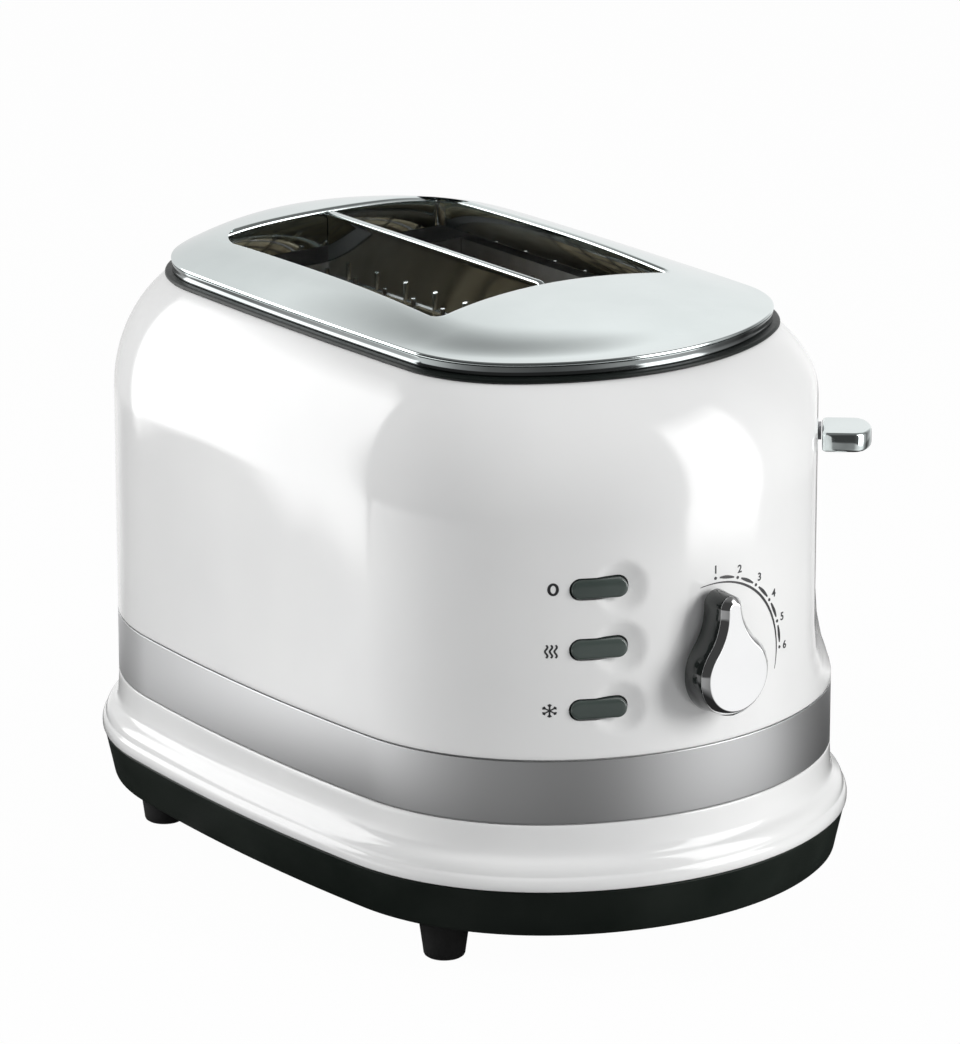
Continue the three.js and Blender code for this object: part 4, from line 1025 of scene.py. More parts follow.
@dataclass
class Paints:
    """Every finish of the toaster, each made once and shared."""

    made: dict[str, bpy.types.Material] = field(default_factory=dict)

    def mix(self) -> None:
        """Makes all the materials."""
        finishes = (
            Enamel(),
            BrushedSteel("brushed_band", (0.78, 0.785, 0.79), (0.60, 0.605, 0.61)),
            Moulded("dark_base", (0.015, 0.019, 0.016), (0.008, 0.011, 0.009), (0.32, 0.48), shine=0.18),
            Moulded("rubber", (0.020, 0.020, 0.020), (0.012, 0.012, 0.012), (0.55, 0.80), 900.0, 0.00006),
            Polished("bright_plate"),
            # Painted shade and dark reflection: a darker copy of the bright plate, for the bead under the plate's
            # edge.
            Polished("bead_painted_shade", (0.31, 0.33, 0.33), (0.24, 0.26, 0.26)),
            Polished("mirror_face", (0.93, 0.935, 0.94), (0.88, 0.885, 0.89), (0.03, 0.06)),
            PlatedSheet("sheet_steel", (0.66, 0.67, 0.68), (0.50, 0.51, 0.52)),
            BrushedSteel(
                "wire_steel", (0.80, 0.80, 0.81), (0.62, 0.62, 0.63), (0.14, 0.28), follow=Pattern.OBJECT,
                stretch=(900.0, 900.0, 60.0), depth=0.00001, strength=0.2, anisotropic=0.0,
            ),
            HeatingRibbon(),
            MicaBoard(),
            PlatedSheet("magnet_iron", (0.46, 0.46, 0.48), (0.30, 0.30, 0.32), (0.35, 0.55)),
            CopperWinding(),
            Moulded("dark_moulding", (0.070, 0.070, 0.070), (0.045, 0.045, 0.045), (0.38, 0.55)),
            Moulded(
                "gloss_black", (0.012, 0.015, 0.014), (0.007, 0.009, 0.0085), (0.05, 0.10), 500.0, 0.00001,
                strength=0.10, coat=0.5,
            ),
            CircuitBoard(),
            Moulded(
                "button_gloss", (0.070, 0.088, 0.080), (0.050, 0.064, 0.058), (0.05, 0.10), 500.0, 0.00001,
                strength=0.15, coat=0.6,
            ),
            # Painted shade: plain black for the shadow gap at the top plate's foot.
            Moulded(
                "foot_gap_shade", (0.010, 0.013, 0.012), (0.006, 0.008, 0.007), (0.30, 0.45), 900.0, 0.00002,
                shine=0.25,
            ),
            Moulded("print_ink", (0.030, 0.030, 0.032), (0.018, 0.018, 0.020), (0.25, 0.40), 1600.0, 0.00001),
        )
        for finish in finishes:
            self.made[finish.name] = finish.build()

    def lay(self, piece: Piece, name: str) -> None:
        """Puts one finish on the whole of a piece."""
        piece.data.materials.clear()
        piece.data.materials.append(self.made[name])


PAINTS = Paints()


def finish_piece(piece: Piece, paint: str, body: str, *nodes: str, slot: str | None = None) -> None:
    """Paints a piece, sets it on its body and hides the nodes it stands for.

    Args:
        piece: The finished mesh.
        paint: The finish's name.
        body: The body it rides on.
        *nodes: The nodes it replaces.
        slot: The record's material slot, where it isn't the finish's own name. Not used.
    """
    PAINTS.lay(piece, paint)
    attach(piece, body)
    if nodes:
        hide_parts(*nodes)
    LOG.info("%s on %s", piece.name, body)


# Outer case

@dataclass
class Casing:
    """Enamelled shell, brushed band, dark base and feet."""

    skirt: Sequence[Flat] = (
        (0.0311, 0.0050), (0.0313, 0.0056), (0.0319, 0.00583), (0.0334, 0.00583), (0.0347, 0.0055),
        (0.0354, 0.0050), (0.0358, 0.0047), (0.0364, 0.0046), (0.0375, 0.0043), (0.0386, 0.0037),
        (0.0395, 0.0029), (0.0403, 0.0019), (0.0413, 0.0010), (0.0428, 0.0005), (0.0450, 0.00025),
        (0.0480, 0.00008), (0.0507, 0.0),
    )
    rebate: Sequence[Flat] = (
        (0.0511, -0.00008), (0.0513, -0.0002), (0.0514, -0.0004), (0.0514, -0.0011), (0.0730, -0.0011),
        (0.0730, -0.00025), (0.07307, -0.00006), (0.0733, 0.0),
    )
    rebate_middle: float = 0.060
    wall_foot: float = 0.0735
    shoulder_start: float = 0.1487
    shoulder_radius: float = 0.050
    shoulder_rise: float = 0.040
    outer_steps: Counts = (62, 24, 2)
    inner_steps: Counts = (34, 8, 1)
    ledge: float = 0.006
    sheet: float = 0.0015
    recess_angle: float = math.radians(-40.0)
    recess_depth: float = 0.0056
    recess_ramp: Sequence[Flat] = (
        (0.0976, 0.0), (0.0880, 0.0007), (0.0810, 0.0025), (0.0765, 0.0056), (0.0740, 0.0090),
    )
    recess_round: float = 0.0030
    recess_reach: Flat = (0.012, 0.050)
    slot_half: float = 0.0035
    slot_low: float = 0.0870
    slot_high: float = 0.1586
    slot_depths: Flat = (-0.008, 0.004)
    button_x: float = -0.042
    button_heights: Sequence[float] = (0.12845, 0.10887, 0.08921)
    button_half: Flat = (0.0096, 0.0036)
    button_depths: Flat = (-0.012, 0.006)
    dish_shift: float = 0.007
    dish_radius: float = 0.0085
    dish_depth: float = 0.0022
    dish_blend: float = 0.0006
    dish_lip: float = 0.00015
    dish_limit: float = 1.15
    dish_reach: float = 0.010
    dial_x: float = -0.0037
    dial_height: float = 0.0981
    shaft_hole: float = 0.0036
    shaft_depths: Flat = (0.120, 0.140)
    floor_cut: Flat = (0.013, 0.020)
    vent_count: int = 6
    vent_pitch: float = 0.012
    vent_size: Flat = (0.003, 0.056)
    vent_rows: Flat = (-0.056, 0.012)
    mouth: tuple[Point, Point] = ((-0.0506, 0.067, 0.0185), (0.0506, 0.143, 0.0265))
    screw_spot: Flat = (0.060, 0.100)
    screw_hole: float = 0.0020
    cord_hole: float = 0.0058
    lever_frame: WallFrame = field(init=False)
    button_frame: WallFrame = field(init=False)
    dish_frame: WallFrame = field(init=False)

    def __post_init__(self) -> None:
        """Works out the frames that the controls sit in."""
        cx, cy = WALL.corner_centre()
        reach = WALL.corner_radius - self.recess_depth
        self.lever_frame = WallFrame(
            cx + reach * math.cos(self.recess_angle), -cy + reach * math.sin(self.recess_angle), self.recess_angle
        )
        self.button_frame = front_frame(self.button_x)
        lean = math.asin(self.button_x / WALL.end_radius)
        self.dish_frame = front_frame(self.button_x + self.dish_shift * math.cos(lean))

    def ramp(self, height: float) -> float:
        """How far out the recess's floor stands at a height.

        Args:
            height: Height on the wall.

        Returns:
            The distance.
        """
        stops = self.recess_ramp
        if height >= stops[0][0]:
            return 0.0
        for (high, near), (low, far) in zip(stops, stops[1:]):
            if height >= low:
                return near + (far - near) * (high - height) / (high - low)
        return 1.0

    def press(self, point: Point, depth: float) -> Point:
        """Presses the recess and the dishes into a point of the skin.

        Args:
            point: A point of the plain skin.
            depth: How far inside the outer face the skin lies.

        Returns:
            The pressed point.
        """
        x, y, z = point
        out, across = self.lever_frame.out_of(x, y)
        inwards, aside = self.recess_reach
        if out > -inwards and abs(across) < aside and z > self.wall_foot:
            limit = self.ramp(z) - depth
            pressed = soft_min(out, limit, self.recess_round)
            x, y, z = self.lever_frame.place(pressed, across, z)
        for height in self.button_heights:
            lift, across = self.dish_frame.out_of(x, y)
            away = math.hypot(across, z - height) / self.dish_radius
            if lift > -self.dish_reach and away < self.dish_limit:
                bowl = soft_min(0.0, self.dish_depth * (away * away - 1.0), self.dish_blend)
                bowl += self.dish_lip if away > 1 else 0.0
                x, y, z = self.dish_frame.place(lift + min(bowl, 0.0), across, z)
        return (x, y, z)

    def level(self, height: float, growth: float, share: float = 0.0) -> list[Point]:
        """One ring of the shell: how far up, how far out, and how far round the shoulder."""
        return lifted(between(WALL.points(growth), RIM.points(growth), share), height)

    def skin(self, sheet: float, wall_steps: int, shoulder_steps: int, skirt_steps: int) -> list[list[Point]]:
        """Rings of the outer or the inner skin, from the skirt up.

        Args:
            sheet: How far inside the outer face it lies.
            wall_steps: Rings on the plain wall.
            shoulder_steps: Rings on the shoulder.
            skirt_steps: Pieces that each stretch of the skirt's line is cut into.

        Returns:
            The rings.
        """
        rings = [self.level(z, growth - sheet) for z, growth in eased(self.skirt, skirt_steps)]
        for z, growth in self.rebate:
            shift = -sheet if z < self.rebate_middle else sheet
            rings.append(self.level(z + shift, growth - sheet))
        low = self.rebate[-1][0] + sheet
        for i in range(1, wall_steps):
            rings.append(self.level(low + (self.shoulder_start - low) * i / wall_steps, -sheet))
        lean = math.asin(self.shoulder_rise / self.shoulder_radius)
        full = 1 - math.cos(lean)
        for i in range(shoulder_steps + 1):
            angle = lean * i / shoulder_steps
            height = self.shoulder_start + (self.shoulder_radius - sheet) * math.sin(angle)
            rings.append(self.level(height, -sheet * math.cos(angle), (1 - math.cos(angle)) / full))
        return [[self.press(point, sheet) for point in ring] for ring in rings]

    def shell(self) -> None:
        """The shell: one closed sheet, with its slot and holes cut through."""
        outer = self.skin(0.0, *self.outer_steps)
        top = outer[-1][0][2]
        edge = RIM.points(-self.ledge)
        ledge = [lifted(edge, top), lifted(edge, top - self.sheet)]
        inner = self.skin(self.sheet, *self.inner_steps)[::-1]
        piece = ring_stack("shell_enamelled", outer + ledge + inner, closed=True)
        carve(piece, self.openings())
        smooth(piece, 32.0)
        finish_piece(piece, "white_enamel", "root", "body_shell")

    def openings(self) -> Piece:
        """The cutter for the lever's slot, the button holes and the shaft hole.

        Returns:
            The cutter.
        """
        cutters = []
        length, half = self.button_half
        for height in self.button_heights:
            outline = [(a, height + u) for a, u in pill_outline(length, half, 14)]
            cutters.append(self.drilled("hole", self.button_frame, outline, self.button_depths))
        middle = (self.slot_low + self.slot_high) / 2
        tall = (self.slot_high - self.slot_low) / 2
        outline = [(u, a + middle) for a, u in pill_outline(tall, self.slot_half, 10)]
        cutters.append(self.drilled("slot", self.lever_frame, outline, self.slot_depths))
        radius = self.shaft_hole
        outline = [(radius * math.cos(a), self.dial_height + radius * math.sin(a)) for a in circle(32)]
        axis = WallFrame(self.dial_x, 0.0, -math.pi / 2)
        cutters.append(self.drilled("shaft", axis, outline, self.shaft_depths))
        return fuse("openings", cutters)

    @staticmethod
    def drilled(name: str, wall: WallFrame, outline: Sequence[Flat], depths: Flat) -> Piece:
        """A straight cutter through the wall.

        Args:
            name: The cutter's name.
            wall: The frame that it stands in.
            outline: Points across and up.
            depths: How far out it starts and ends.

        Returns:
            The cutter.
        """
        rings = [[wall.place(out, across, up) for across, up in outline] for out in depths]
        return ring_stack(name, rings, caps=True)

    def band(self) -> None:
        """The brushed band, with its edges eased."""
        profile = (
            (0.0517, -0.0008), (0.0517, -0.0002), (0.05178, -0.00005), (0.0519, 0.0), (0.0521, 0.0), (0.0580, 0.0),
            (0.0660, 0.0), (0.0721, 0.0), (0.0724, 0.0), (0.07247, -0.00003), (0.0725, -0.0001), (0.0725, -0.0008),
        )
        piece = ring_stack("band_brushed", WALL.rings(profile), closed=True, wrap=True)
        smooth(piece, 40.0)
        finish_piece(piece, "brushed_band", "root", "steel_band")

    def base(self) -> None:
        """The dark base: a tub with eased edges, vents, screw holes and the tray's mouth."""
        outer = (
            (0.0152, 0.0009), (0.01525, 0.00125), (0.0154, 0.0016), (0.0157, 0.0019), (0.0162, 0.0021),
            (0.0200, 0.0029), (0.0255, 0.0041), (0.0299, 0.00505), (0.0304, 0.0051), (0.0307, 0.0049),
            (0.0308, 0.0046),
        )
        inner = ((0.0308, 0.0024), (0.0305, 0.0023), (0.0180, -0.0009), (0.0177, -0.0014))
        piece = ring_stack("base_moulded", WALL.rings(outer + inner), caps=True)
        carve(piece, fuse("floor_cutters", self.floor_cutters()))
        smooth(piece, 35.0)
        finish_piece(piece, "dark_base", "root", "base_pan")

    def floor_cutters(self) -> list[Piece]:
        """The cutters for the vents, the tray's mouth and the holes in the floor.

        Returns:
            The cutters.
        """
        low, high = self.floor_cut
        width, length = self.vent_size
        cutters = []
        for i in range(self.vent_count):
            x = (i - (self.vent_count - 1) / 2) * self.vent_pitch
            for y in self.vent_rows:
                cutters.append(box_piece("vent", (x - width / 2, y, low), (x + width / 2, y + length, high)))
        cutters.append(box_piece("mouth", *self.mouth))
        for x, y, radius in self.floor_holes():
            cutters.append(turned("hole", ((radius, low), (radius, high)), 24, (x, y)))
        return cutters

    def floor_holes(self) -> list[tuple[float, float, float]]:
        """Centre and radius of each hole in the floor.

        Returns:
            Across, along and radius of each hole.
        """
        across, along = self.screw_spot
        holes = [(sx * across, sy * along, self.screw_hole) for sx in (-1, 1) for sy in (-1, 1)]
        low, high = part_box("cord_gland")
        return holes + [((low.x + high.x) / 2, (low.y + high.y) / 2, self.cord_hole)]

    def feet(self) -> None:
        """Four tapered rubber feet with rounded bottoms and a collar at the top."""
        profile = (
            (0.0020, 0.00045), (0.0030, 0.0), (0.0050, 0.0), (0.0058, 0.00015), (0.0064, 0.0006), (0.0067, 0.0012),
            (0.0070, 0.0035), (0.0077, 0.0085), (0.0084, 0.0132), (0.0087, 0.0136), (0.0088, 0.0142), (0.0088, 0.0149),
        )
        first = turned("foot_pattern", profile, 48)
        smooth(first, 35.0)
        for corner in ("front_left", "front_right", "back_left", "back_right"):
            low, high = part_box("foot_" + corner)
            offset = ((low.x + high.x) / 2, (low.y + high.y) / 2, 0.0)
            piece = copy_to(first, "foot_rubber_" + corner, offset)
            finish_piece(piece, "rubber", "root", "foot_" + corner)
        bpy.data.objects.remove(first)

    def build(self) -> None:
        """Builds the whole case."""
        self.shell()
        self.band()
        self.base()
        self.feet()


def pill_outline(half_length: float, half_height: float, steps: int) -> list[Flat]:
    """A pill about the origin, long across, anticlockwise.

    Args:
        half_length: Half its length.
        half_height: Half its height, which is the ends' radius.
        steps: Pieces that each round end is cut into.

    Returns:
        The points.
    """
    flat = half_length - half_height
    points = []
    for side in (1, -1):
        for i in range(steps + 1):
            angle = -side * math.pi / 2 + math.pi * i / steps
            points.append((side * flat + half_height * math.cos(angle), half_height * math.sin(angle)))
    return points


def rounded_box(half: Flat, centre: Flat, radius: float, angle: float) -> Flat:
    """Where a ray from a rounded rectangle's centre leaves it.

    Args:
        half: Half width and half length.
        centre: The rectangle's centre.
        radius: Corner radius.
        angle: The ray's direction.

    Returns:
        The point.
    """
    c, s = math.cos(angle), math.sin(angle)
    reach = min(half[0] / max(abs(c), 1e-9), half[1] / max(abs(s), 1e-9))
    px, py = abs(c) * reach, abs(s) * reach
    cx, cy = half[0] - radius, half[1] - radius
    if px > cx and py > cy:
        dot = abs(c) * cx + abs(s) * cy
        reach = dot + math.sqrt(max(dot * dot - cx * cx - cy * cy + radius * radius, 0.0))
    return (centre[0] + c * reach, centre[1] + s * reach)


# Top plate

@dataclass
class TopPlate:
    """Polished domed plate with a rolled rim, its long opening and the thin divider."""

    crown: float = 0.2040
    edge_height: float = 0.1950
    edge_inset: float = 0.0020
    edge_span: float = 0.0286
    edge_power: float = 2.67
    middle: float = 0.0140
    fall_side: float = 0.0021
    fall_front: float = 0.0022
    fall_back: float = 0.0008
    front_bow: float = 0.0062
    sheet: float = 0.0012
    opening_half: Flat = (0.0470, 0.06265)
    opening_centre: Flat = (0.0, 0.01515)
    opening_corner: float = 0.0035
    opening_round: float = 0.0014
    collar: float = 0.014
    lip: float = 0.0004
    under_shares: Flat = (0.66, 0.33)
    under_insets: Sequence[float] = (0.0180, 0.0110, 0.0060, 0.0036)
    collar_gap: float = 1.6
    underside: float = 0.1940
    fall_span: Flat = (0.047, 0.062)
    follow_reach: float = 0.0205
    follow_ease: float = 1.5
    follow_steps: int = 12
    morph_steps: int = 10
    round_steps: int = 4
    divider_top: float = 0.2024
    divider_low: float = 0.178
    divider_neck: float = 0.0030
    divider_half: float = 0.0006
    hem_radius: float = 0.00118
    hem_turn: Flat = (-35.0, 250.0)
    hook_height: float = 0.19

    def height(self, x: float, y: float) -> float:
        """Height of the dome over a plan point.

        Args:
            x: Across.
            y: Along.

        Returns:
            The height.
        """
        share = min(max((RIM.inset_of(x, y) - self.edge_inset) / self.edge_span, 0.0), 1.0)
        weight = 1 - (1 - share) ** self.edge_power
        fall = self.fall_front if y < self.middle else self.fall_back
        wide, long = self.fall_span
        inner = self.crown - self.fall_side * (x / wide) ** 2 - fall * ((y - self.middle) / long) ** 2
        return self.edge_height + weight * (inner - self.edge_height)

    def opening_ring(self, growth: float, directions: Sequence[float]) -> list[Flat]:
        """The opening's outline grown by an offset, one point for each direction.

        Args:
            growth: Offset outwards.
            directions: Where each column lies.

        Returns:
            The points.
        """
        half = (self.opening_half[0] + growth, self.opening_half[1] + growth)
        ring = []
        for angle in directions:
            x, y = rounded_box(half, self.opening_centre, self.opening_corner + growth, angle)
            bow = self.front_bow * max(1 - (x / half[0]) ** 2, 0.0) if y < self.opening_centre[1] else 0.0
            ring.append((x, y + bow))
        return ring

    def laid(self, outline: Sequence[Flat], drop: float = 0.0) -> list[Point]:
        """An outline laid on the dome, or a drop below it."""
        return [(x, y, self.height(x, y) - drop) for x, y in outline]

    def rings(self) -> list[list[Point]]:
        """Rings from the rolled rim over the dome, down the collar and back underneath.

        Returns:
            The rings.
        """
        rings = RIM.rings((
            (0.1939, -0.0030), (0.1939, -0.0017), (0.1940, -0.00156), (0.1943, -0.00150), (0.1946, -0.00154),
            (0.19482, -0.00165), (0.19494, -0.00182),
        ))
        for i in range(self.follow_steps + 1):
            share = (i / self.follow_steps) ** self.follow_ease
            inset = self.edge_inset + (self.follow_reach - self.edge_inset) * share
            rings.append(self.laid(RIM.points(-inset)))
        last = RIM.points(-self.follow_reach)
        cx, cy = self.opening_centre
        directions = [math.atan2(y - cy, x - cx) for x, y in last]
        edge = self.opening_ring(self.opening_round, directions)
        for i in range(1, self.morph_steps + 1):
            rings.append(self.laid(between(last, edge, i / self.morph_steps)))
        for i in range(1, self.round_steps + 1):
            angle = math.pi / 2 * i / self.round_steps
            growth = self.opening_round * (1 - math.sin(angle))
            drop = self.opening_round * (1 - math.cos(angle))
            top = self.opening_ring(growth, directions)
            rings.append([(x, y, self.height(*self.beside(x, y)) - drop) for x, y in top])
        return rings + self.under_rings(last, directions)

    def under_rings(self, last: Sequence[Flat], directions: Sequence[float]) -> list[list[Point]]:
        """The collar inside the opening and the plate's underside.

        Args:
            last: The outline where the dome stops following the rim.
            directions: Where each column lies, seen from the opening's centre.

        Returns:
            The rings, from the collar's inner face out to the rim.
        """
        wall = self.opening_ring(0.0, directions)
        outer = self.opening_ring(self.sheet, directions)
        bottom = self.crown - self.collar
        rings = [
            lifted(wall, bottom + self.lip),
            lifted(between(wall, outer, 0.3), bottom),
            lifted(between(wall, outer, 0.7), bottom),
            lifted(outer, bottom + self.lip),
            self.laid(outer, self.sheet * self.collar_gap),
        ]
        for share in self.under_shares:
            rings.append(self.laid(between(last, outer, share), self.sheet))
        for inset in self.under_insets:
            under = self.laid(RIM.points(-inset), self.sheet)
            rings.append([(x, y, max(z, self.underside)) for x, y, z in under])
        return rings

    def bead(self) -> None:
        """The rolled bead under the plate's edge, leaning in towards its foot, darker than the plate as painted shade
        and dark reflection.
        """
        profile = (
            (0.1906, -0.0022), (0.1907, -0.0019), (0.1910, -0.00182), (0.1914, -0.0019), (0.1919, -0.00193),
            (0.1927, -0.00180), (0.1934, -0.00166), (0.1937, -0.00164), (0.19378, -0.0018), (0.19378, -0.0032),
            (0.1906, -0.0032),
        )
        piece = ring_stack("plate_bead", RIM.rings(profile), closed=True)
        smooth(piece, 50.0)
        # The bead's darker finish is painted shade and dark reflection on the plate's bright metal.
        finish_piece(piece, "bead_painted_shade", "root", slot="bright_plate")

    def shaded_foot(self) -> None:
        """The dark ring that the plate sits on, dark as painted shade of the shadow gap at the plate's foot."""
        profile = (
            (0.1890, 0.0001), (0.1891, 0.00045), (0.1893, 0.00058), (0.1898, 0.00055), (0.1902, 0.00035),
            (0.1904, -0.0001), (0.1905, -0.0007), (0.1905, -0.0034), (0.1890, -0.0034),
        )
        piece = ring_stack("plate_foot_shade", RIM.rings(profile), closed=True)
        smooth(piece, 50.0)
        # Black here is painted shade of the gap under the plate's edge.
        finish_piece(piece, "foot_gap_shade", "root", slot="rubber")

    def beside(self, x: float, y: float) -> Flat:
        """A plan point moved just outside the opening's edge, where the dome's height is read.

        Args:
            x: Across.
            y: Along.

        Returns:
            The moved point.
        """
        cx, cy = self.opening_centre
        shift = self.opening_round / 2
        return (x + math.copysign(shift, x - cx), y + math.copysign(shift, y - cy))

    def plate(self) -> None:
        """The plate itself."""
        piece = ring_stack("plate_polished", self.rings(), closed=True)
        smooth(piece, 60.0)
        finish_piece(piece, "bright_plate", "root", "top_plate")

    def divider(self) -> None:
        """The divider: thin sheet with a rolled hem, its front end turned down in a small hook."""
        top, low = self.divider_top, self.divider_low
        half, hem = self.divider_half, self.hem_radius
        start, turn = self.hem_turn
        neck = top - self.divider_neck
        profile = [(half, low), (half, neck)]
        for i in range(9):
            angle = math.radians(start + turn * i / 8)
            profile.append((hem * math.cos(angle), top - hem + hem * math.sin(angle)))
        profile += [(-half, neck), (-half, low)]
        stations = (
            (-0.0472, -0.0150), (-0.0407, -0.0150), (-0.0405, -0.0012), (-0.0401, -0.0006), (-0.0394, -0.0002),
            (-0.0380, 0.0), (0.0, 0.0), (0.0765, 0.0), (0.0775, -0.0004),
        )
        rings = [
            [(x, y, z + (drop if z > self.hook_height else 0.0)) for x, z in profile]
            for y, drop in stations
        ]
        piece = ring_stack("divider_hemmed", rings, caps=True)
        smooth(piece, 40.0)
        finish_piece(piece, "bright_plate", "root", "slot_divider")

    def build(self) -> None:
        """Builds the plate and the divider."""
        self.plate()
        self.bead()
        self.shaded_foot()
        self.divider()


# Browning dial

@dataclass
class Dial:
    """Teardrop knob with a chamfered bright face, and the marks round it."""

    x: float = -0.0037
    height: float = 0.0981
    face: float = 0.1462
    back: float = 0.1362
    belly: float = 0.0133
    tip: float = 0.0260
    tip_radius: float = 0.0041
    flank: float = 0.0196
    turn: float = math.radians(4.6)
    chamfer: float = 0.0019
    seat: float = 0.0023
    mark_radius: float = 0.0289
    line_radius: float = 0.0273
    line_reach: Flat = (math.radians(-12), math.radians(104))
    number_radius: float = 0.0316
    number_size: float = 0.0036
    numbers: int = 6
    step: float = 18.0
    dot_half: float = 0.019
    dash_gap: float = 0.055

    def teardrop(self, inset: float) -> list[Flat]:
        """The knob's outline drawn in by an inset: belly, hollow flanks and tip.

        Args:
            inset: How far it is drawn in.

        Returns:
            The points.
        """
        tip_height = self.tip - self.tip_radius
        belly_reach, tip_reach = self.belly + self.flank, self.tip_radius + self.flank
        height = (belly_reach**2 - tip_reach**2 + tip_height**2) / (2 * tip_height)
        out = math.sqrt(max(belly_reach**2 - height**2, 0.0))
        low, high = math.atan2(height, out), math.atan2(height - tip_height, out)
        arcs = (
            (0.0, 0.0, self.belly - inset, math.pi - low, math.tau + low, 72),
            (out, height, self.flank + inset, math.pi + low, math.pi + high, 20),
            (0.0, tip_height, self.tip_radius - inset, high, math.pi - high, 28),
            (-out, height, self.flank + inset, -high, -low, 20),
        )
        c, s = math.cos(self.turn), math.sin(self.turn)
        points = []
        for x, y, radius, start, finish, steps in arcs:
            for i in range(steps):
                angle = start + (finish - start) * i / steps
                px, py = x + radius * math.cos(angle), y + radius * math.sin(angle)
                points.append((px * c - py * s, px * s + py * c))
        return points

    def stack(self, name: str, profile: Sequence[Flat]) -> Piece:
        """A piece of the knob from reach and inset pairs, from its back to its front.

        Args:
            name: The piece's name.
            profile: The pairs.

        Returns:
            The piece.
        """
        rings = [
            [(self.x + a, -reach, self.height + u) for a, u in self.teardrop(inset)]
            for reach, inset in profile
        ]
        return ring_stack(name, rings, caps=True)

    def knob(self) -> None:
        """The black body, with eased back and front edges."""
        joint = self.face - self.seat - 0.00005
        piece = self.stack(
            "knob_body",
            (
                (self.back, 0.0008), (self.back, -0.0002), (self.back + 0.0002, -0.0005),
                (self.back + 0.0006, -0.0006), (self.back + 0.0040, -0.0002), (joint - 0.0004, 0.0),
                (joint - 0.0001, 0.0001), (joint, 0.0004), (joint, 0.0012),
            ),
        )
        smooth(piece, 40.0)
        finish_piece(piece, "gloss_black", "dial", "dial_knob")

    def cap(self) -> None:
        """The bright face with its wide chamfer."""
        low = self.face - self.seat
        edge = self.face - self.chamfer
        piece = self.stack(
            "knob_cap",
            (
                (low, 0.0010), (low, 0.0002), (low + 0.0001, 0.00005), (low + 0.0002, 0.0),
                (edge - 0.00012, 0.0), (edge + 0.00008, 0.0001),
                (self.face - 0.0001, self.chamfer - 0.00014), (self.face - 0.00003, self.chamfer - 0.00002),
                (self.face, self.chamfer + 0.00015), (self.face, self.chamfer + 0.0005),
            ),
        )
        smooth(piece, 25.0)
        finish_piece(piece, "mirror_face", "dial", "knob_face")

    def on_wall(self, angle: float, radius: float, out: float = INK_FACE) -> Point:
        """A point on the wall at an angle clockwise from up and a distance from the axis."""
        return wall_point(self.x + radius * math.sin(angle), self.height + radius * math.cos(angle), out)

    def strip(
        self, start: float, finish: float, width: Callable[[float], float], radius: float, steps: int
    ) -> Piece:
        """A printed stroke along an arc about the axis.

        Args:
            start: First angle, clockwise from up.
            finish: Last angle.
            width: Width at a share of the stroke.
            radius: The stroke's radius.
            steps: Pieces along it.

        Returns:
            The stroke.
        """
        rings = []
        for i in range(steps + 1):
            share = i / steps
            angle = start + (finish - start) * share
            half = width(share) / 2
            rings.append(
                [self.on_wall(angle, radius - half, INK_ROOT), self.on_wall(angle, radius + half, INK_ROOT),
                 self.on_wall(angle, radius + half), self.on_wall(angle, radius - half)]
            )
        return ring_stack("stroke", rings, caps=True)

    @staticmethod
    def swelling(thin: float, rise: float) -> Callable[[float], float]:
        """The width of a stroke that swells from its ends to its middle."""
        return lambda share: thin + rise * math.sin(math.pi * share)

    @staticmethod
    def rounded(size: float) -> Callable[[float], float]:
        """The width of a stroke that makes it a round dot."""
        return lambda share: size * math.sqrt(max(1 - (2 * share - 1) ** 2, 0.03))

    def marks(self) -> None:
        """Dots, swelling dashes, the thin inner line and plain numbers from 1 to 6."""
        strokes = [self.strip(*self.line_reach, self.swelling(0.00020, 0.00066), self.line_radius, 60)]
        for i in range(self.numbers):
            angle = math.radians(self.step * i)
            near, far = angle - self.dot_half, angle + self.dot_half
            strokes.append(self.strip(near, far, self.rounded(0.00105), self.mark_radius, 10))
            if i < self.numbers - 1:
                near, far = angle + self.dash_gap, angle + math.radians(self.step) - self.dash_gap
                strokes.append(self.strip(near, far, self.swelling(0.0005, 0.0006), self.mark_radius, 14))
        for i in range(self.numbers):
            angle = math.radians(self.step * i)
            spot = (self.x + self.number_radius * math.sin(angle), self.height + self.number_radius * math.cos(angle))
            strokes.append(wall_text(str(i + 1), spot, self.number_size))
        piece = fuse("dial_marks", strokes)
        finish_piece(piece, "print_ink", "root", slot="gloss_black")

    def build(self) -> None:
        """Builds the knob, its face and the marks."""
        self.knob()
        self.cap()
        self.marks()


def wall_text(words: str, spot: Flat, size: float) -> Piece:
    """A printed figure on the front wall.

    Args:
        words: The figure.
        spot: Where its middle is, across and up.
        size: The letter height.

    Returns:
        The figure as a thin mesh on the wall.
    """
    deselect_all()
    bpy.ops.object.text_add(location=(0.0, 0.0, 0.0))
    made = bpy.context.object
    made.data.body = words
    made.data.size = size
    made.data.extrude = (INK_FACE - INK_ROOT) / 2
    made.data.offset = 0.00009
    made.data.resolution_u = 6
    made.data.align_x = "CENTER"
    made.data.align_y = "CENTER"
    bpy.ops.object.convert(target="MESH")
    piece = bpy.context.object
    for vertex in piece.data.vertices:
        x, y, z = vertex.co
        vertex.co = wall_point(spot[0] + x, spot[1] + y, z + (INK_FACE + INK_ROOT) / 2)
    face_outwards(piece)
    return piece


# Buttons

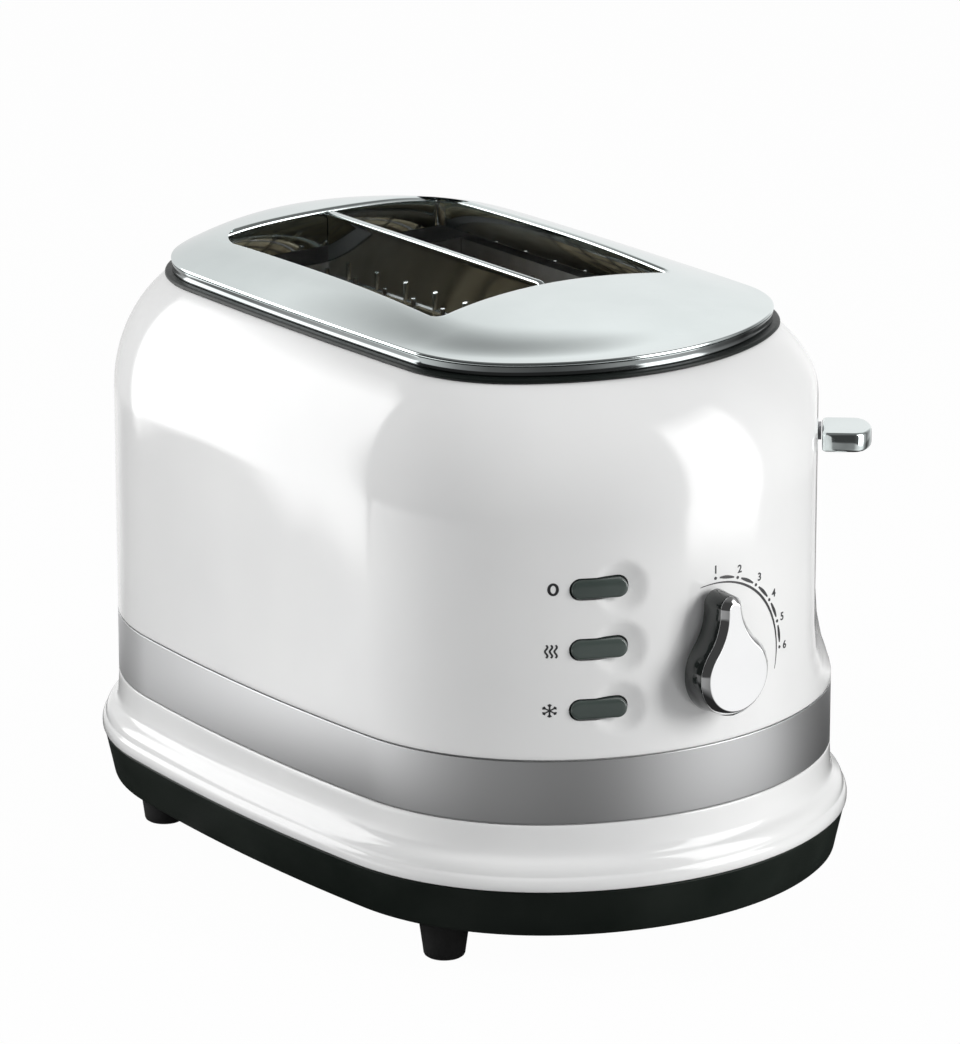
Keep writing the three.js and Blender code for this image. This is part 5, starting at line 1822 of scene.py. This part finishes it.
@dataclass
class ButtonColumn:
    """Three glossy pill buttons, with their printed signs beside them."""

    wall: WallFrame
    heights: Sequence[float]
    names: Sequence[str] = ("cancel", "reheat", "defrost")
    half: Flat = (0.0090, 0.0031)
    proud: float = 0.0007
    body: float = 0.0054

    def button(self, name: str, height: float) -> None:
        """One button: flange behind the wall, pill body, eased edge and slightly crowned face.

        Args:
            name: The button's name and body.
            height: Its height on the wall.
        """
        profile = (
            (-self.body, 0.0006), (-self.body, -0.0014), (-self.body + 0.0010, -0.0014), (-self.body + 0.0010, 0.0),
            (self.proud - 0.0009, 0.0), (self.proud - 0.0006, 0.00006), (self.proud - 0.00035, 0.00022),
            (self.proud - 0.00018, 0.00048), (self.proud - 0.00010, 0.0008), (self.proud - 0.00004, 0.0014),
            (self.proud, 0.0022),
        )
        rings = []
        for out, inset in profile:
            outline = pill_outline(self.half[0] - inset, self.half[1] - inset, 16)
            rings.append([self.wall.place(out, a, height + u) for a, u in outline])
        piece = ring_stack("button_" + name, rings, caps=True)
        smooth(piece, 40.0)
        finish_piece(piece, "button_gloss", name, name + "_button", slot="gloss_black")

    def build(self) -> None:
        """Builds the three buttons and their signs."""
        for name, height in zip(self.names, self.heights):
            self.button(name, height)
        ButtonSigns().build()


@dataclass
class ButtonSigns:
    """A ring, three rising wavy lines and a six-armed star, printed beside the buttons."""

    ring_spot: Flat = (-0.0547, 0.1287)
    ring_half: Flat = (0.0011, 0.0017)
    ring_width: float = 0.00075
    wave_spot: Flat = (-0.0552, 0.1086)
    wave_shifts: Sequence[float] = (-0.0012, 0.0, 0.0012)
    wave_swing: float = 0.00032
    wave_turns: float = 1.5
    wave_height: float = 0.0042
    wave_width: float = 0.0005
    star_spot: Flat = (-0.0555, 0.0893)
    arm_half: Flat = (0.0020, 0.0022)
    arm_width: float = 0.0004
    barb_foot: Flat = (0.0012, 0.0013)
    barb_length: float = 0.0008
    barb_lean: float = 0.6
    barb_width: float = 0.00034

    @staticmethod
    def stroke(points: Sequence[Flat], width: float, closed: bool = False) -> Piece:
        """A printed line on the wall through flat points.

        Args:
            points: Across and up on the wall.
            width: The line's width.
            closed: Whether it returns to its start.

        Returns:
            The line as a thin mesh.
        """
        count = len(points)
        rings = []
        for i, (x, z) in enumerate(points):
            before = points[i - 1] if closed or i else points[0]
            after = points[(i + 1) % count] if closed or i + 1 < count else points[-1]
            dx, dz = after[0] - before[0], after[1] - before[1]
            size = math.hypot(dx, dz) or 1.0
            nx, nz = -dz / size * width / 2, dx / size * width / 2
            rings.append(
                [corner_point(x - nx, z - nz, INK_ROOT), corner_point(x + nx, z + nz, INK_ROOT),
                 corner_point(x + nx, z + nz, INK_FACE), corner_point(x - nx, z - nz, INK_FACE)]
            )
        return ring_stack("line", rings, closed=closed, caps=not closed)

    def ring(self) -> list[Piece]:
        """An upright ring.

        Returns:
            Its line.
        """
        x, z = self.ring_spot
        wide, tall = self.ring_half
        points = [(x + wide * math.cos(a), z + tall * math.sin(a)) for a in circle(28)]
        return [self.stroke(points, self.ring_width, closed=True)]

    def waves(self) -> list[Piece]:
        """Wavy lines side by side.

        Returns:
            The lines.
        """
        x, z = self.wave_spot
        lines = []
        for shift in self.wave_shifts:
            wave = []
            for share in [i / 16 for i in range(17)]:
                swing = self.wave_swing * math.sin(math.tau * share * self.wave_turns)
                wave.append((x + shift + swing, z + self.wave_height * (share - 0.5)))
            lines.append(self.stroke(wave, self.wave_width))
        return lines

    def star(self) -> list[Piece]:
        """Three crossed lines with two barbs at each end.

        Returns:
            The lines.
        """
        x, z = self.star_spot
        lines = []
        for angle in [math.radians(90 + 60 * i) for i in range(3)]:
            c, s = math.cos(angle), math.sin(angle)
            arm = [(x + self.arm_half[0] * c * t, z + self.arm_half[1] * s * t) for t in (-1.0, -0.5, 0.0, 0.5, 1.0)]
            lines.append(self.stroke(arm, self.arm_width))
            for end in (-1.0, 1.0):
                foot = (x + end * self.barb_foot[0] * c, z + end * self.barb_foot[1] * s)
                for lean in (angle - self.barb_lean, angle + self.barb_lean):
                    reach = [end * self.barb_length * t for t in (0.0, 0.5, 1.0)]
                    barb = [(foot[0] + r * math.cos(lean), foot[1] + r * math.sin(lean)) for r in reach]
                    lines.append(self.stroke(barb, self.barb_width))
        return lines

    def build(self) -> None:
        """Prints the three signs as one piece."""
        piece = fuse("button_signs", self.ring() + self.waves() + self.star())
        finish_piece(piece, "print_ink", "root", slot="gloss_black")


def corner_point(x: float, up: float, out: float) -> Point:
    """A point on the front wall or its round corners, by its place across and up.

    Args:
        x: Across.
        up: Height.
        out: How far off the wall.

    Returns:
        The point.
    """
    cx, cy = WALL.corner_centre()
    limit = WALL.end_radius * cx / (WALL.end_radius - WALL.corner_radius)
    if abs(x) <= limit:
        return wall_point(x, up, out)
    reach = WALL.corner_radius + out
    dx = abs(x) - cx
    return (x, -cy - math.sqrt(max(reach**2 - dx**2, 0.0)), up)


# Lever

@dataclass
class Lever:
    """Bright bowed grip on a dark arm at the front right corner."""

    wall: WallFrame
    height: float = 0.1540
    start: float = 0.0014
    length: float = 0.0126
    bulge: float = 0.0032
    half_width: float = 0.0100
    thick: float = 0.0064
    corner: Flat = (0.0022, 0.0006)
    heel: Flat = (0.0003, 0.0010)

    def plan(self, inset: float) -> list[Flat]:
        """The grip's plan drawn in by an inset: out and across, with rounded corners.

        Args:
            inset: How far it is drawn in.

        Returns:
            The points.
        """
        half = self.half_width - inset
        near, far = self.start + inset, self.start + self.length - inset
        radius = max(self.corner[0] - inset, self.corner[1])
        points = []
        for i in range(13):
            share = -1 + 2 * i / 12
            last = abs(share) > 0.99
            out = far + self.bulge * (1 - share * share) - (radius * 0.35 if last else 0.0)
            points.append((out, half * share * (0.97 if last else 1.0)))
        short, long = self.heel
        side = [(far - radius * 1.2, half), (near + long, half), (near + short, half - short), (near, half - long)]
        return points + side + [(out, -across) for out, across in reversed(side)]

    def grip(self) -> None:
        """The grip: flat top and bottom with rounded edges."""
        low, high = self.height - self.thick / 2, self.height + self.thick / 2
        edge = ((0.0, 0.0020), (0.0, 0.0011), (0.0001, 0.0007), (0.0003, 0.00035), (0.0007, 0.00010), (0.0012, 0.0))
        profile = [(low + up, inset) for up, inset in edge] + [(high - up, inset) for up, inset in reversed(edge)]
        rings = [[self.wall.place(out, across, z) for out, across in self.plan(inset)] for z, inset in profile]
        piece = ring_stack("lever_grip_polished", rings, caps=True)
        smooth(piece, 35.0)
        finish_piece(piece, "bright_plate", "carriage", "lever_grip")

    def build(self) -> None:
        """Builds the grip."""
        self.grip()


# What keeps its solid from the frame

@dataclass
class CarriedOver:
    """Paints every node with the finish of its material slot, found by a part of its name."""

    finishes: dict[str, str] = field(default_factory=lambda: {
        "base_screw": "sheet_steel", "cord_gland": "rubber", "cage_": "sheet_steel", "reflector": "sheet_steel",
        "heater_board": "mica", "heating_ribbon": "heating_ribbon", "wire_guard": "wire_steel",
        "tray_runner": "sheet_steel", "crumb_tray": "sheet_steel", "carriage_plate": "sheet_steel",
        "lift_rack": "wire_steel", "guide_rod": "wire_steel", "top_bridge": "sheet_steel",
        "return_spring": "wire_steel", "latch_armature": "magnet_iron", "magnet_core": "magnet_iron",
        "magnet_coil": "copper_wire", "mains_switch": "dark_moulding", "lever_arm": "magnet_iron",
        "knob_shaft": "sheet_steel", "timer_control": "dark_moulding", "timer_board": "circuit_board",
        "button_board": "circuit_board", "control_bracket": "dark_moulding", "_switch": "dark_moulding",
        "foot_": "rubber", "base_pan": "dark_base", "body_shell": "white_enamel", "steel_band": "sheet_steel",
        "top_plate": "bright_plate", "slot_divider": "bright_plate", "lever_grip": "bright_plate",
        "dial_knob": "gloss_black", "knob_face": "mirror_face", "_button": "gloss_black",
    })

    def build(self) -> None:
        """Paints the nodes."""
        for name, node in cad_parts.items():
            paint = next(finish for part, finish in self.finishes.items() if part in name)
            PAINTS.lay(node, paint)
            if not node.hide_render:
                LOG.info("%s carried over in %s", name, paint)


# Studio

@dataclass
class Studio:
    """Camera, pale floor, world and soft lamps."""

    camera_place: Point = (-1.12401, -1.51080, 0.68412)
    camera_turn: Point = (math.radians(90 - 16.90), 0.0, math.radians(-36.77))
    lens: float = 205.89
    sensor: float = 36.0
    floor_size: float = 24.0
    floor_grey: float = 0.62
    floor_white: float = 0.98
    fill: float = 0.22
    tent_radius: float = 0.42
    tent_stretch: float = 1.4
    tent_foot: float = 0.0004
    tent_power: float = 5.0
    low_fade: Flat = (math.radians(-1.2), math.radians(1.2))
    high_fade: Flat = (math.radians(47.0), math.radians(54.0))
    zenith_fade: Flat = (math.radians(53.0), math.radians(62.0))
    zenith: float = 0.032
    # Painted shadow: the tent's floor dimmed to this level round the object's foot, standing in for the object's
    # shadow in reflections.
    contact_shadow: float = 0.004
    contact_shadow_fade: Flat = (0.20, 0.28)
    edge_ring: Sequence[Flat] = (
        (-180, 0.14), (-100, 0.14), (-80, 0.11), (-50, 0.11), (-40, 0.14), (114, 0.14), (118, 0.13), (124, 0.14),
        (130, 0.145), (134, 0.12), (138, 0.08), (141, 0.055), (144, 0.06), (148, 0.03), (152, 0.015),
        (156, 0.14), (180, 0.14),
    )
    low_ring: Sequence[Flat] = (
        (-180, 0.21), (-170, 0.14), (-160, 0.10), (-144, 0.062), (-130, 0.058), (-112, 0.042), (-99, 0.055),
        (-85, 0.13), (-66, 0.20), (-50, 0.18), (-36, 0.05), (-15, 0.008), (-4, 0.04), (12, 0.16), (20, 0.02),
        (62, 0.02), (72, 0.18), (90, 0.18), (103, 0.06), (122, 0.08), (131, 0.19), (137, 0.23), (151, 0.36),
        (165, 0.30), (180, 0.21),
    )
    mid_ring: Sequence[Flat] = (
        (-180, 0.010), (-100, 0.010), (-78, 0.02), (-75.5, 0.85), (-50, 0.85), (-47, 0.12), (-20, 0.03),
        (-4, 0.10), (10, 0.19), (60, 0.17), (80, 0.145), (98, 0.145), (112, 0.16), (115, 0.76), (150, 0.76),
        (153, 0.03), (158, 0.010), (180, 0.010),
    )
    high_ring: Sequence[Flat] = (
        (-180, 0.02), (-80, 0.02), (-40, 0.05), (-10, 0.08), (12, 0.12), (22, 0.19), (46, 0.19), (58, 0.15),
        (68, 0.125), (80, 0.16), (92, 0.175), (110, 0.15), (125, 0.12), (150, 0.04), (180, 0.02),
    )
    lamp_aim: Point = (0.0, 0.0, 0.1)
    lamps: Sequence[tuple[str, Point, Flat, float]] = (
        ("left", (-1.25, 0.45, 0.95), (0.7, 0.9), 14.5),
        ("right", (0.75, -1.30, 0.65), (0.5, 0.9), 19.0),
        ("top", (0.10, 0.30, 1.50), (1.0, 1.0), 2.4),
    )

    def camera(self) -> None:
        """Sets the camera at the photograph's angle."""
        data = bpy.data.cameras.new("view")
        data.lens = self.lens
        data.sensor_width = self.sensor
        data.clip_start, data.clip_end = 0.05, 20.0
        made = bpy.data.objects.new("view", data)
        made.location = self.camera_place
        made.rotation_euler = self.camera_turn
        bpy.context.scene.collection.objects.link(made)
        bpy.context.scene.camera = made

    def lamp(self, name: str, place: Point, size: Flat, power: float) -> None:
        """One soft rectangular lamp, aimed at the object.

        Args:
            name: The lamp's name.
            place: Where it stands.
            size: Width and height.
            power: Watts.
        """
        data = bpy.data.lights.new(name, "AREA")
        data.shape = "RECTANGLE"
        data.size, data.size_y = size
        data.energy = power
        made = bpy.data.objects.new(name, data)
        made.location = place
        made.rotation_euler = (Vector(self.lamp_aim) - Vector(place)).to_track_quat("-Z", "Y").to_euler()
        made.visible_glossy = False
        bpy.context.scene.collection.objects.link(made)

    @staticmethod
    def seen(nodes: bpy.types.Nodes, links: bpy.types.NodeLinks) -> Socket:
        """Where the background shows itself: to the camera, in gloss and through glass.

        Args:
            nodes: The nodes of a material or of the world.
            links: Their links.

        Returns:
            A share of 0 or 1.
        """
        path = nodes.new("ShaderNodeLightPath")
        first = nodes.new("ShaderNodeMath")
        first.operation = "MAXIMUM"
        links.new(path.outputs["Is Camera Ray"], first.inputs[0])
        links.new(path.outputs["Is Glossy Ray"], first.inputs[1])
        second = nodes.new("ShaderNodeMath")
        second.operation = "MAXIMUM"
        links.new(first.outputs[0], second.inputs[0])
        links.new(path.outputs["Is Transmission Ray"], second.inputs[1])
        return second.outputs[0]

    def floor(self) -> None:
        """A wide pale floor that reads white and keeps the object's shadow."""
        deselect_all()
        bpy.ops.mesh.primitive_plane_add(size=self.floor_size, location=(0.0, 0.0, 0.0))
        made = bpy.context.object
        made.name = "studio_floor"
        bpy.ops.object.mode_set(mode="EDIT")
        bpy.ops.mesh.subdivide(number_cuts=4)
        close_edit()
        material = bpy.data.materials.new("studio_floor")
        material.use_nodes = True
        nodes, links = material.node_tree.nodes, material.node_tree.links
        shader = nodes["Principled BSDF"]
        shader.inputs["Roughness"].default_value = 0.9
        shader.inputs["Base Color"].default_value = (self.floor_grey, self.floor_grey, self.floor_grey, 1.0)
        shader.inputs["Specular IOR Level"].default_value = 0.1
        glow = nodes.new("ShaderNodeEmission")
        glow.inputs["Strength"].default_value = 1.0
        weight = nodes.new("ShaderNodeMath")
        weight.operation = "MULTIPLY"
        weight.inputs[1].default_value = self.floor_white
        links.new(self.seen(nodes, links), weight.inputs[0])
        mix = nodes.new("ShaderNodeMixShader")
        links.new(weight.outputs[0], mix.inputs["Fac"])
        links.new(shader.outputs[0], mix.inputs[1])
        links.new(glow.outputs[0], mix.inputs[2])
        links.new(mix.outputs[0], nodes["Material Output"].inputs["Surface"])
        made.data.materials.append(material)

    def world(self) -> None:
        """White where it is seen, a quiet grey where it only lights."""
        world = bpy.data.worlds.new("studio")
        bpy.context.scene.world = world
        world.use_nodes = True
        nodes, links = world.node_tree.nodes, world.node_tree.links
        fill = nodes["Background"]
        fill.inputs["Color"].default_value = (0.95, 0.97, 1.0, 1.0)
        fill.inputs["Strength"].default_value = self.fill
        shown = nodes.new("ShaderNodeBackground")
        shown.inputs["Color"].default_value = (1.0, 1.0, 1.0, 1.0)
        shown.inputs["Strength"].default_value = 1.0
        mix = nodes.new("ShaderNodeMixShader")
        links.new(self.seen(nodes, links), mix.inputs["Fac"])
        links.new(fill.outputs[0], mix.inputs[1])
        links.new(shown.outputs[0], mix.inputs[2])
        links.new(mix.outputs[0], nodes["World Output"].inputs["Surface"])

    def tent(self) -> None:
        """A closed light tent that only gloss sees: white panels, pale back, dark where the camera stands."""
        deselect_all()
        bpy.ops.mesh.primitive_uv_sphere_add(
            segments=64, ring_count=48, radius=self.tent_radius, location=(0.0, 0.0, 0.0)
        )
        made = bpy.context.object
        made.name = "studio_tent"
        edit(made)
        foot = (0.0, 0.0, self.tent_foot)
        bpy.ops.mesh.bisect(plane_co=foot, plane_no=(0.0, 0.0, 1.0), use_fill=True, clear_inner=True)
        bpy.ops.mesh.select_all(action="SELECT")
        bpy.ops.transform.resize(value=(1.0, 1.0, self.tent_stretch), center_override=(0.0, 0.0, 0.0))
        close_edit()
        made.visible_camera = False
        made.visible_diffuse = False
        made.visible_shadow = False
        made.visible_transmission = False
        made.data.materials.append(self.tent_paint())

    def tent_paint(self) -> bpy.types.Material:
        """The tent's brightness by compass direction at floor level, at mid height and overhead, with a painted shadow
        on its floor round the object's foot.

        Returns:
            The material.
        """
        bench = Bench("studio_tent")
        where = bench.place(Pattern.OBJECT)
        split = bench.nodes.new("ShaderNodeSeparateXYZ")
        bench.join(where, split.inputs[0])
        compass = bench.combine(split.outputs["Y"], split.outputs["X"], "ARCTAN2")
        turn = bench.span(compass, 0.0, 1.0, -math.pi, math.pi)
        plan = bench.nodes.new("ShaderNodeVectorMath")
        plan.operation = "LENGTH"
        flat = bench.nodes.new("ShaderNodeCombineXYZ")
        bench.join(split.outputs["X"], flat.inputs["X"])
        bench.join(split.outputs["Y"], flat.inputs["Y"])
        bench.join(flat.outputs[0], plan.inputs[0])
        rise = bench.combine(split.outputs["Z"], plan.outputs["Value"], "ARCTAN2")
        levels = [bench.tint(turn, *compass_stops(ring)) for ring in (self.low_ring, self.mid_ring, self.high_ring)]
        # Painted shadow on the tent's floor round the object's foot.
        close = bench.span(plan.outputs["Value"], 0.0, 1.0, *self.contact_shadow_fade)
        near = bench.mix(self.contact_shadow, levels[0], close)
        edge = bench.tint(turn, *compass_stops(self.edge_ring))
        above = bench.combine(rise, edge, "SUBTRACT")
        low = bench.mix(near, levels[1], bench.span(above, 0.0, 1.0, *self.low_fade))
        full = bench.mix(low, levels[2], bench.span(rise, 0.0, 1.0, *self.high_fade))
        over = bench.mix(full, self.zenith, bench.span(rise, 0.0, 1.0, *self.zenith_fade))
        glow = bench.nodes.new("ShaderNodeEmission")
        glow.inputs["Strength"].default_value = self.tent_power
        bench.join(over, glow.inputs["Color"])
        bench.join(glow.outputs[0], bench.nodes["Material Output"].inputs["Surface"])
        bench.nodes.remove(bench.shader)
        return bench.material

    def build(self) -> None:
        """Sets the whole studio."""
        self.camera()
        self.floor()
        self.world()
        self.tent()
        for name, place, size, power in self.lamps:
            self.lamp(name, place, size, power)
        bpy.context.scene.view_settings.view_transform = "Standard"


def compass_stops(ring: Sequence[Flat]) -> Stops:
    """Ramp stops from pairs of compass angle in degrees and brightness."""
    return [((angle + 180.0) / 360.0, (level, level, level)) for angle, level in ring]


def main() -> None:
    """Builds the toaster in order and sets the studio round it."""
    logging.basicConfig(level=logging.INFO, format="%(name)s: %(message)s")
    studio = Studio()
    studio.build()
    PAINTS.mix()
    casing = Casing()
    casing.build()
    TopPlate().build()
    Dial().build()
    ButtonColumn(casing.button_frame, casing.button_heights).build()
    Lever(casing.lever_frame).build()
    CarriedOver().build()


if __name__ == "__main__":
    main()
